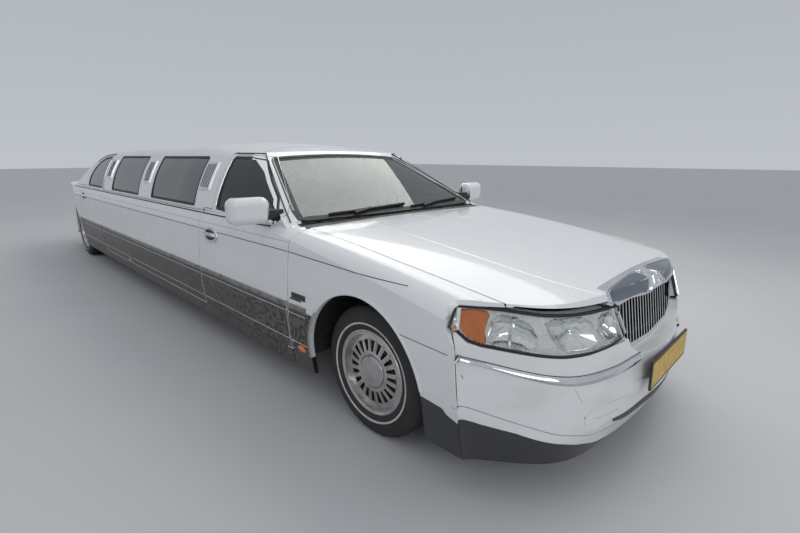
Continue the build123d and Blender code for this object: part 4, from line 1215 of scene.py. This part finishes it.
for hand, side in HANDS:
    loop = smooth_line(CREST + CREST[:1], 4)[:-1]
    middle = sum(loop, Vector()) / len(loop)
    rim = laid(header_skin, side, loop)
    core = laid(header_skin, side, [middle])[0][0]
    sweep(f"crest_rim_{hand}", rim, dome(0.013, 0.008, 0.003), chrome, "hood", True, core)
    rings = [laid(header_skin, side, [middle + (p - middle) * share for p in loop]) for share in FIELD_RINGS]
    sheet_on(f"crest_field_{hand}", [ring + ring[:1] for ring in rings], 0.0016, smoked_chrome, "hood")
    for number, rib in enumerate(NOSE_RIBS):
        run = laid(nose_skin, side, smooth_line(rib, 4))
        sweep(f"nose_rib_{number}_{hand}", run, dome(0.010, 0.008), chrome, "body")
sweep("crest_spine", laid(header_skin, 1, SPINE), dome(0.024, 0.013, 0.004), chrome, "hood")
print("crest laid in", len(FIELD_RINGS), "rings")

# %% [markdown]
# ### Creases of the hood
# The hood is pressed with a low ridge down its middle and one towards each fender. They are too slight
# to be worth cutting in the solid. A very flat three-sided profile, white like the hood, is enough to
# break the light.

# %% Hood creases
HOOD_SIDE = [(0.887, 0.454), (0.689, 0.500), (0.348, 0.510), (-0.10, 0.480), (-0.48, 0.440)]
HOOD_CREASES = {
    # name: places as (ahead of the front axle, across to the right)
    "right": HOOD_SIDE,
    "middle": [(0.868, 0.0), (0.60, 0.0), (0.20, 0.0), (-0.48, 0.0)],
    "left": [(x, -y) for x, y in HOOD_SIDE],
}
RIDGE = [(-0.022, -0.002), (0, 0.0022), (0.022, -0.002)]
for name, line in HOOD_CREASES.items():
    run = landed(land(skin("hood"), (XF + p.x, -p.y, 3), (0, 0, -1)) for p in smooth_line(line, 8))
    sweep(f"hood_crease_{name}", run, RIDGE, white, "hood")
print("hood creases:", len(HOOD_CREASES))

# %% [markdown]
# ## Door handles, side markers and a bare badge
# The handle is a bright oval ring round a hollow, with a grip across it. A real hollow would cut
# through the thin door, so it is only a dark oval laid on it, and that dark is painted shade of the
# hollow. Rings and grips are swept on the door's skin, and ride with it. The marker lamps are ovals
# too, with a crown in the middle.

# %% Helper: an oval on the skin
def oval(x, z, a, b, count=36):
    """Points round an oval, a and b being half its length and height."""
    turns = [math.tau * k / count for k in range(count)]
    return [(x + a * math.cos(t), z + b * math.sin(t)) for t in turns]


def disc_on(name, side, x, z, a, b, lift, mat, solid, body, crown=0.0, rings=5, count=32):
    """An oval sheet on the skin of a solid, with a crown in its middle."""
    tree = skin(solid)
    corners = []
    for share in [r / rings for r in range(rings, 0, -1)]:
        hits = [on_side(tree, side, *spot) for spot in oval(x, z, a * share, b * share, count)]
        corners += [p + n * (lift + crown * (1 - share ** 2)) for p, n in hits]
    p, n = on_side(tree, side, x, z)
    corners.append(p + n * (lift + crown))
    base = len(corners)
    corners += [p - n * 0.001 for p, n in (on_side(tree, side, *spot) for spot in oval(x, z, a, b, count))]
    faces = dish_faces(rings, count) + [[k, m, base + m, base + k] for k, m in around(count)]
    return piece(name, corners, faces + [[base + k for k in range(count)]], mat, body)


print("places round an oval:", len(oval(0, 0, 0.1, 0.04)))

# %% Helper: a door handle
GRIP = [(-0.013, 0), (-0.011, 0.005), (0.011, 0.005), (0.013, 0), (0.0, -0.003)]


def door_handle(body, side, x, z):
    """A bright ring round a dark oval of painted shade for the hollow, with a grip arched over it."""
    tree = skin(body)
    # The dark oval is painted shade where the handle's hollow would be.
    disc_on(f"handle_hollow_shade_{body}", side, x, z, 0.094, 0.036, 0.0012, seam_dark, body, body)
    ring = [on_side(tree, side, *spot) for spot in oval(x, z, 0.100, 0.041)]
    sweep(f"handle_ring_{body}", ring, dome(0.020, 0.011), chrome, body, True, on_side(tree, side, x, z)[0])
    grip = [on_side(tree, side, px, z + 0.004) for px in steps(x - 0.090, x + 0.086, 0.012)]
    last = len(grip) - 1
    arch = [(p + n * (0.004 + 0.016 * math.sin(math.pi * k / last)), n) for k, (p, n) in enumerate(grip)]
    sweep(f"handle_grip_{body}", arch, GRIP, chrome, body)


print("grip is", GRIP[3][0] - GRIP[0][0], "wide")

# %% Handles, markers and badge
HANDLES = {"front_door": (-1.568, 0.838), "rear_door": (-5.385, 0.880)}
MARKERS = {"front_fenders": (-0.490, 0.329), "body_sides": (-3.664, 0.318)}
BADGE = {
    # part: first and last place from the front axle, lowest and highest
    "plate": (-0.412, -0.541, 0.623, 0.653),
    "bar": (-0.452, -0.556, 0.612, 0.620),
}
for hand, side in HANDS:
    for door, (x, z) in HANDLES.items():
        door_handle(f"{door}_{hand}", side, x, z)
    for number, (solid, (x, z)) in enumerate(MARKERS.items()):
        disc_on(f"side_marker_{number}_{hand}", side, x, z, 0.040, 0.019, 0.003, amber_lens, solid, "body",
                crown=0.008)
    for part, (x0, x1, z0, z1) in BADGE.items():
        rows = [[on_side(skin("front_fenders"), side, x, z) for x in steps(x0, x1, 0.012)]
                for z in steps(z0, z1, 0.006)]
        sheet_on(f"fender_badge_{part}_{hand}", rows, 0.003, black_plastic, "body")
print("handles, markers and badges made")

# %% [markdown]
# ## Door mirrors
# The solid holds the shell, its arm and the sail in the corner of the window. The shell stays painted;
# the arm and sail turn black by giving their faces a second material, and a reflecting plate is set in
# the back of the shell.

# %% Two finishes on the mirrors, and their glass
ARM_ENDS, SAIL_ENDS, SAIL_TOP = 0.9315, 0.962, 1.067    # out from the middle of the car, and a height
MIRROR_WIDE, MIRROR_TALL, MIRROR_LEAN = 0.170, 0.095, math.radians(8)
for hand, side in HANDS:
    mesh = nodes[f"mirror_{hand}"].data
    mesh.materials.append(black_plastic)
    for polygon in mesh.polygons:
        out, height = abs(polygon.center.y), polygon.center.z
        if out < ARM_ENDS or (out < SAIL_ENDS and height < SAIL_TOP):
            polygon.material_index = 1
    centre = Vector((XF - 0.862, side * 1.048, 1.068))
    back = Vector((-math.cos(MIRROR_LEAN), -side * math.sin(MIRROR_LEAN), 0))
    across = Vector((math.sin(MIRROR_LEAN), -side * math.cos(MIRROR_LEAN), 0))
    w, h = MIRROR_WIDE / 2, MIRROR_TALL / 2
    loop = rounded([(-w, -h), (w, -h), (w, h), (-w, h)], 0.03, 0.02)
    corners = [centre + back * depth + across * p.x + Vector((0, 0, p.y))
               for depth in (0.045, 0.0605) for p in loop]
    piece(f"mirror_plate_{hand}", corners, slab_faces(len(loop)), mirror_glass, f"front_door_{hand}")
print("mirrors finished")

# %% [markdown]
# ## Pillar louvres
# Each ornament is a bright frame with slim slats. The solid gives the raised block. Slats cut one by
# one would be thinner than the solid allows, so thin dark grooves are swept over the block instead.

# %% Grooves of the louvres
LOUVRES_X = (-1.850, -3.127, -4.420)
GROOVES, GROOVE_PITCH = 5, 0.026
for hand, side in HANDS:
    for number, x in enumerate(LOUVRES_X):
        parts = ([], [])
        for k in range(GROOVES):
            offset = GROOVE_PITCH * (k - (GROOVES - 1) / 2)
            run = landed(on_side(skin("pillar_louvres"), side, x + offset, z)
                         for z in steps(1.145, 1.310, 0.02))
            sweep("groove", run, dome(0.012, 0.0015), seam_dark, "body", parts=parts)
        piece(f"louvre_grooves_{number}_{hand}", *parts, seam_dark, "body")
print("louvres grooved:", len(HANDS) * len(LOUVRES_X))

# %% [markdown]
# ## Tyres
# A tyre is one profile turned round the axle. Grooves run round the tread as part of that profile.
# Blocks could be modelled one by one and set round the wheel, but sinking every few segments notches
# the shoulders in the same mesh. A thin white ring is laid on the wall.

# %% Turn the tyres
TREAD = [(204, -96), (214, -97), (222, -105), (240, -111), (262, -115), (283, -113), (300, -108),
         (313, -103), (322, -98), (330, -91), (334, -84), (337, -72), (337.5, -64), (330, -62), (330, -57),
         (338, -55), (338, -25), (330, -23), (330, -17), (338, -15), (338, 15), (330, 17), (330, 23),
         (338, 25), (338, 55), (330, 57), (330, 62), (337.5, 64), (337, 72), (334, 84), (330, 91),
         (322, 98), (313, 103), (300, 108), (283, 113), (262, 115), (240, 111), (222, 105), (214, 97),
         (204, 96)]
WHITE_RING = [(246, 112.0), (247, 114.4), (255, 115.6), (256, 113.5)]
SEGMENTS = 120


def turned(name, profile, centre, side, mat, body, segments=SEGMENTS, notch=None):
    """Turn (radius, offset) pairs in millimetres round an axle; offset grows outboard."""
    corners = []
    for i in range(segments):
        t = math.tau * i / segments
        for r, o in profile:
            radius = (r - (notch(i, r, o) if notch else 0.0)) / 1000
            corners.append((centre.x + radius * math.cos(t), centre.y + side * o / 1000,
                            centre.z + radius * math.sin(t)))
    return piece(name, corners, tube_faces(len(profile), around(segments)), mat, body)


def tread_notch(segment, radius, offset):
    """How deep a place of the tread is sunk: every third segment on the shoulders, every fourth inside."""
    if radius > 330.5 and abs(offset) > 62 and segment % 3 == 0:
        return 5.0
    if radius > 337.6 and 25 <= abs(offset) <= 55 and segment % 4 == 0:
        return 4.0
    return 0.0


for (end, hand), (centre, side) in WHEELS.items():
    body = f"wheel_{end}_{hand}"
    made = turned(f"dressed_tyre_{end}_{hand}", TREAD, centre, side, tyre_rubber, body, notch=tread_notch)
    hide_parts(f"tyre_{end}_{hand}")
    turned(f"whitewall_{end}_{hand}", WHITE_RING, centre, side, whitewall, body)
print("tyres turned:", len(WHEELS))

# %% [markdown]
# ## Wheel faces
# The wheel's slots are in the solid. Here it gains a flat cap with a stepped edge, a raised ring round
# it, a rolled outer lip and a ring of raised ribs between the slots. What is round is turned, like the
# tyre. The ribs are copies of one small block, set round the axle and joined into one mesh.

# %% Caps, ribs and lips
WHEEL_RINGS = [
    # name, section as (radius, offset) in millimetres, segments round the wheel
    ("hub_cap", [(0.01, 92), (0.01, 97.5), (70, 97), (78, 96), (81, 93), (82, 90), (0.01, 90)], 64),
    ("cap_ring", [(84, 86), (85, 91.5), (98, 92.5), (102, 89), (102, 84), (84, 84)], 80),
    ("rim_lip", [(203, 96), (204, 103), (209, 106.5), (216, 106), (219, 102), (218, 98), (208, 100)],
     SEGMENTS),
]
RIBS = 20
RIB = [
    # radius, across, offset: the foot of a rib, then its top
    (0.108, -0.0055, 0.083), (0.108, 0.0055, 0.083), (0.170, 0.009, 0.074), (0.170, -0.009, 0.074),
    (0.110, -0.0035, 0.0905), (0.110, 0.0035, 0.0905), (0.168, 0.006, 0.0865), (0.168, -0.006, 0.0865),
]
BLOCK_FACES = ((0, 1, 2, 3), (4, 7, 6, 5), (0, 4, 5, 1), (1, 5, 6, 2), (2, 6, 7, 3), (3, 7, 4, 0))


def spun(r, a, t):
    """A place at radius r and a little across, turned by t round the axle."""
    return r * math.cos(t) - a * math.sin(t), r * math.sin(t) + a * math.cos(t)


def ring_of(name, centre, side, count, block, mat, body):
    """Copies of a block round an axle, joined. The first stands half a step on, between two slots."""
    corners, faces = [], []
    halfway = [(*spun(r, a, math.pi / count), o) for r, a, o in block]
    for i in range(count):
        faces += [[len(corners) + k for k in f] for f in BLOCK_FACES]
        for r, a, o in halfway:
            x, z = spun(r, a, math.tau * i / count)
            corners.append((centre.x + x, centre.y + side * o, centre.z + z))
    return piece(name, corners, faces, mat, body)


for (end, hand), (centre, side) in WHEELS.items():
    body = f"wheel_{end}_{hand}"
    for name, profile, segments in WHEEL_RINGS:
        turned(f"{name}_{end}_{hand}", profile, centre, side, alloy, body, segments)
    ring_of(f"wheel_ribs_{end}_{hand}", centre, side, RIBS, RIB, alloy, body)
print("wheel faces dressed, ribs on each:", RIBS)

# %% [markdown]
# ## Upholstery
# Cushions are stuffed, so they bulge between their seams and pull in at the corners. Each starts as a
# rounded block a little too small, is swollen by a short cloth simulation with air pressure inside, and
# is then left as a plain mesh.

# %% Cushion builder
SEWN = 0.007           # how deep the seams between channels pull in


def cushion(name, low, high, lean=0.0, channels=0, puff=0.018):
    """A closed pad in the box low to high, leaned back by lean, with sewn channels across its width."""
    low, high = Vector(low), Vector(high)
    size, centre = high - low, (low + high) / 2
    solid = bmesh.new()
    bmesh.ops.create_cube(solid, size=1.0)
    bmesh.ops.subdivide_edges(solid, edges=solid.edges[:], cuts=9, use_grid_fill=True)
    for v in solid.verts:
        u = Vector((abs(v.co.x), abs(v.co.y), abs(v.co.z))) * 2
        pull = Vector((1 - 0.05 * (u.y ** 4 + u.z ** 4), 1 - 0.03 * (u.x ** 4 + u.z ** 4),
                       1 - 0.14 * (u.x ** 4 + u.y ** 4)))
        p = Vector([v.co[k] * pull[k] for k in range(3)])
        p = Vector([p[k] * (size[k] - puff) for k in range(3)])
        if channels and u.z > 0.9:
            phase = (v.co.y + 0.5) * channels
            p.z -= math.copysign(SEWN, v.co.z) * (1 - abs(math.sin(math.pi * phase))) ** 3
        v.co = Vector((p.x - lean * p.z, p.y, p.z)) + centre
    mesh = bpy.data.meshes.new(name)
    solid.to_mesh(mesh)
    solid.free()
    mesh.materials.append(leather)
    mesh.shade_smooth()
    obj = bpy.data.objects.new(name, mesh)
    bpy.context.scene.collection.objects.link(obj)
    smooth = obj.modifiers.new("round", "SUBSURF")
    smooth.levels = smooth.render_levels = 1
    return obj


print("seams of a cushion pull in by", SEWN)

# %% Swelling a cushion
SWELL_STEPS, SWELL_CAP = 12, 0.012


def swell(obj):
    """A short cloth simulation with pressure, its result copied into the mesh, moves capped."""
    before = [v.co.copy() for v in obj.data.vertices]
    cloth = obj.modifiers.new("swell", "CLOTH")
    cloth.settings.use_pressure = True
    cloth.settings.uniform_pressure_force = 4
    cloth.settings.effector_weights.gravity = 0
    cloth.collision_settings.use_collision = False
    obj.modifiers.move(1, 0)
    for step in range(1, SWELL_STEPS + 1):
        bpy.context.scene.frame_set(step)
    obj.modifiers["round"].show_viewport = False
    bpy.context.view_layer.update()
    shaped = obj.evaluated_get(bpy.context.evaluated_depsgraph_get())
    after = [v.co.copy() for v in shaped.data.vertices]
    obj.modifiers.remove(cloth)
    obj.modifiers["round"].show_viewport = True
    for v, a, b in zip(obj.data.vertices, before, after):
        move = b - a
        v.co = a + move * min(1.0, SWELL_CAP / max(move.length, 1e-6))
    bpy.context.scene.frame_set(1)


print("swelling steps:", SWELL_STEPS, "largest move", SWELL_CAP)

# %% Make the seats
FRONT_WIDTHS = (("right", -0.685, -0.015), ("left", 0.015, 0.685))
BENCH_PLACES = [(k, -4.37 + 0.74 * k, -3.65 + 0.74 * k) for k in range(3)]
SEATS = {
    # replaced solid: name, low and high corner (x from the front axle), lean, channels
    "front_seat":
        [(f"front_cushion_{hand}", (-1.65, y0, 0.30), (-1.11, y1, 0.515), 0.0, 4)
         for hand, y0, y1 in FRONT_WIDTHS]
        + [(f"front_back_{hand}", (-1.84, y0, 0.47), (-1.62, y1, 1.00), 0.24, 4)
           for hand, y0, y1 in FRONT_WIDTHS],
    "rear_seat":
        [("rear_cushion", (-5.245, -0.66, 0.30), (-4.78, 0.66, 0.515), 0.0, 6),
         ("rear_back", (-5.42, -0.60, 0.47), (-5.22, 0.60, 1.00), 0.24, 6)],
    "side_bench":
        [(f"bench_cushion_{k}", (x0, 0.335, 0.30), (x1, 0.72, 0.495), 0.0, 0) for k, x0, x1 in BENCH_PLACES]
        + [(f"bench_back_{k}", (x0, 0.69, 0.48), (x1, 0.815, 0.955), 0.0, 0) for k, x0, x1 in BENCH_PLACES],
}
for solid_name, pads in SEATS.items():
    for number, (name, low, high, lean, channels) in enumerate(pads):
        obj = cushion(name, (XF + low[0], *low[1:]), (XF + high[0], *high[1:]), lean, channels)
        swell(obj)
        if number == 0:
            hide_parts(solid_name)
        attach(obj, "body")
print("cushions made:", sum(len(pads) for pads in SEATS.values()))

# %% [markdown]
# ## Tail lamps and rear trims
# The tail lamp is a red lens over the corner with a pale band for the reversing light. A bright strip
# runs round the rear bumper, another crosses the lid, and the rear plate hangs above it. As the corner
# is curved, rays are shot at it from all round, at an angle that turns from the back to the side.

# %% Rear end
TAIL_BANDS = [
    # height, finish, how tall
    (0.742, lens_clear, 0.030),
    (0.636, chrome, 0.008),
    (0.852, chrome, 0.008),
]
rear_skin = skin("rear_bumper", "rear_quarters", "tail_lamps", "trunk_lid")


def around_tail(tree, side, angle, z):
    """Landing round the rear corner: the angle turns from straight back to straight out."""
    out = Vector((-math.cos(math.radians(angle)), side * math.sin(math.radians(angle)), 0))
    return land(tree, Vector((XR - 0.75, side * 0.35, z)) + out * 2, -out)


for hand, side in HANDS:
    run = landed(around_tail(rear_skin, side, a, 0.545) for a in steps(-8, 84, 3))
    sweep(f"rear_bumper_strip_{hand}", run, dome(0.034, 0.009, 0.004), chrome, "body")
    for z, mat, tall in TAIL_BANDS:
        run = landed(around_tail(skin("tail_lamps"), side, a, z) for a in steps(14, 80, 2))
        if len(run) > 2:
            sweep(f"tail_band_{round(z * 1000)}_{hand}", run, dome(tall, 0.003), mat, "body")
print("rear corners trimmed")

# %% Strip and plate on the lid
lid_skin = skin("trunk_lid")
lid_x = land(lid_skin, (-6, 0, 0.735), (1, 0, 0))[0].x
run = landed(land(lid_skin, (-6, y, 0.640), (1, 0, 0)) for y in steps(-0.44, 0.44, 0.04))
sweep("lid_strip", run, dome(0.020, 0.006), chrome, "trunk_lid")
plate("rear_plate", (lid_x - 0.004, 0, 0.735), -1, 0.010, 0, "trunk_lid")
print("lid face at", round(XR - lid_x, 3))

# %% [markdown]
# ## Floor, light and camera
# A plain pale floor, a dull sky and two large soft panels of light stand in for a studio. Small lamps
# would dot the chrome with hard spots, where wide panels lay long even streaks. The camera stands off
# the right front corner at a person's height, as in the photograph, and looks a little down.

# %% Floor
def floor_material():
    """Pale, dull concrete with slight patches."""
    mat = finish("floor", (0.56, 0.565, 0.575), 0.75)
    patch = noise(mat, 0.6, 3)
    ramp(mat, patch, [(0.3, (0.55, 0.555, 0.565)), (0.7, (0.58, 0.585, 0.59))], "Base Color")
    return mat


FLOOR_REACH = 60
square = [(-1, -1), (1, -1), (1, 1), (-1, 1)]
floor_mesh = bpy.data.meshes.new("studio_floor")
floor_mesh.from_pydata([(FLOOR_REACH * x, FLOOR_REACH * y, 0) for x, y in square], [], [[0, 1, 2, 3]])
floor_obj = bpy.data.objects.new("studio_floor", floor_mesh)
floor_mesh.materials.append(floor_material())
bpy.context.scene.collection.objects.link(floor_obj)
print("floor laid")

# %% Sky light and soft panels
world = bpy.data.worlds.new("studio_light")
bpy.context.scene.world = world
world.use_nodes = True
tree = world.node_tree
split = split_place(tree, "Generated")
shade = tree.nodes.new("ShaderNodeValToRGB")
stops = shade.color_ramp.elements
stops[0].position, stops[0].color = 0.0, (0.60, 0.63, 0.68, 1)
stops[1].position, stops[1].color = 1.0, (0.70, 0.72, 0.75, 1)
middle_stop = stops.new(0.30)
middle_stop.color = (0.52, 0.55, 0.60, 1)
tree.links.new(split.outputs["Z"], shade.inputs["Fac"])
tree.links.new(shade.outputs["Color"], tree.nodes["Background"].inputs["Color"])
tree.nodes["Background"].inputs["Strength"].default_value = 0.85


def panel_light(name, place, aim, wide, deep, power, colour=(1, 1, 1)):
    """A soft rectangular light at a place, turned to shine at another."""
    lamp = bpy.data.lights.new(name, "AREA")
    lamp.shape = "RECTANGLE"
    lamp.size, lamp.size_y, lamp.energy, lamp.color = wide, deep, power, colour
    obj = bpy.data.objects.new(name, lamp)
    bpy.context.scene.collection.objects.link(obj)
    obj.location = place
    obj.rotation_euler = (Vector(aim) - Vector(place)).to_track_quat("-Z", "Y").to_euler()
    return obj


panel_light("overhead_panel", (0.5, 3.0, 5.2), (0.2, 0.0, 0.8), 10, 3.0, 185, (1.0, 0.985, 0.95))
panel_light("nose_panel", (9.0, -3.0, 3.6), (3.4, -0.4, 0.6), 4.0, 2.5, 70)
print("lights hung")

# %% Camera
FOCUS_PX, WIDTH_PX, SENSOR = 448.47, 800, 36.0    # pixels, pixels and millimetres
camera_data = bpy.data.cameras.new("camera")
camera_data.sensor_width = SENSOR
camera_data.lens = SENSOR * FOCUS_PX / WIDTH_PX
camera_data.clip_end = 200
camera = bpy.data.objects.new("camera", camera_data)
bpy.context.scene.collection.objects.link(camera)
camera.location = (XF + 1.517, -2.236, 1.367)
YAW, PITCH, ROLL = 2.351, -0.241, -0.001
camera.rotation_mode = "XYZ"
camera.rotation_euler = (math.pi / 2 + PITCH, ROLL, YAW - math.pi / 2)
bpy.context.scene.camera = camera
bpy.context.scene.view_settings.view_transform = "Standard"
print("camera at", tuple(round(c, 3) for c in camera.location), "lens", round(camera_data.lens, 2))
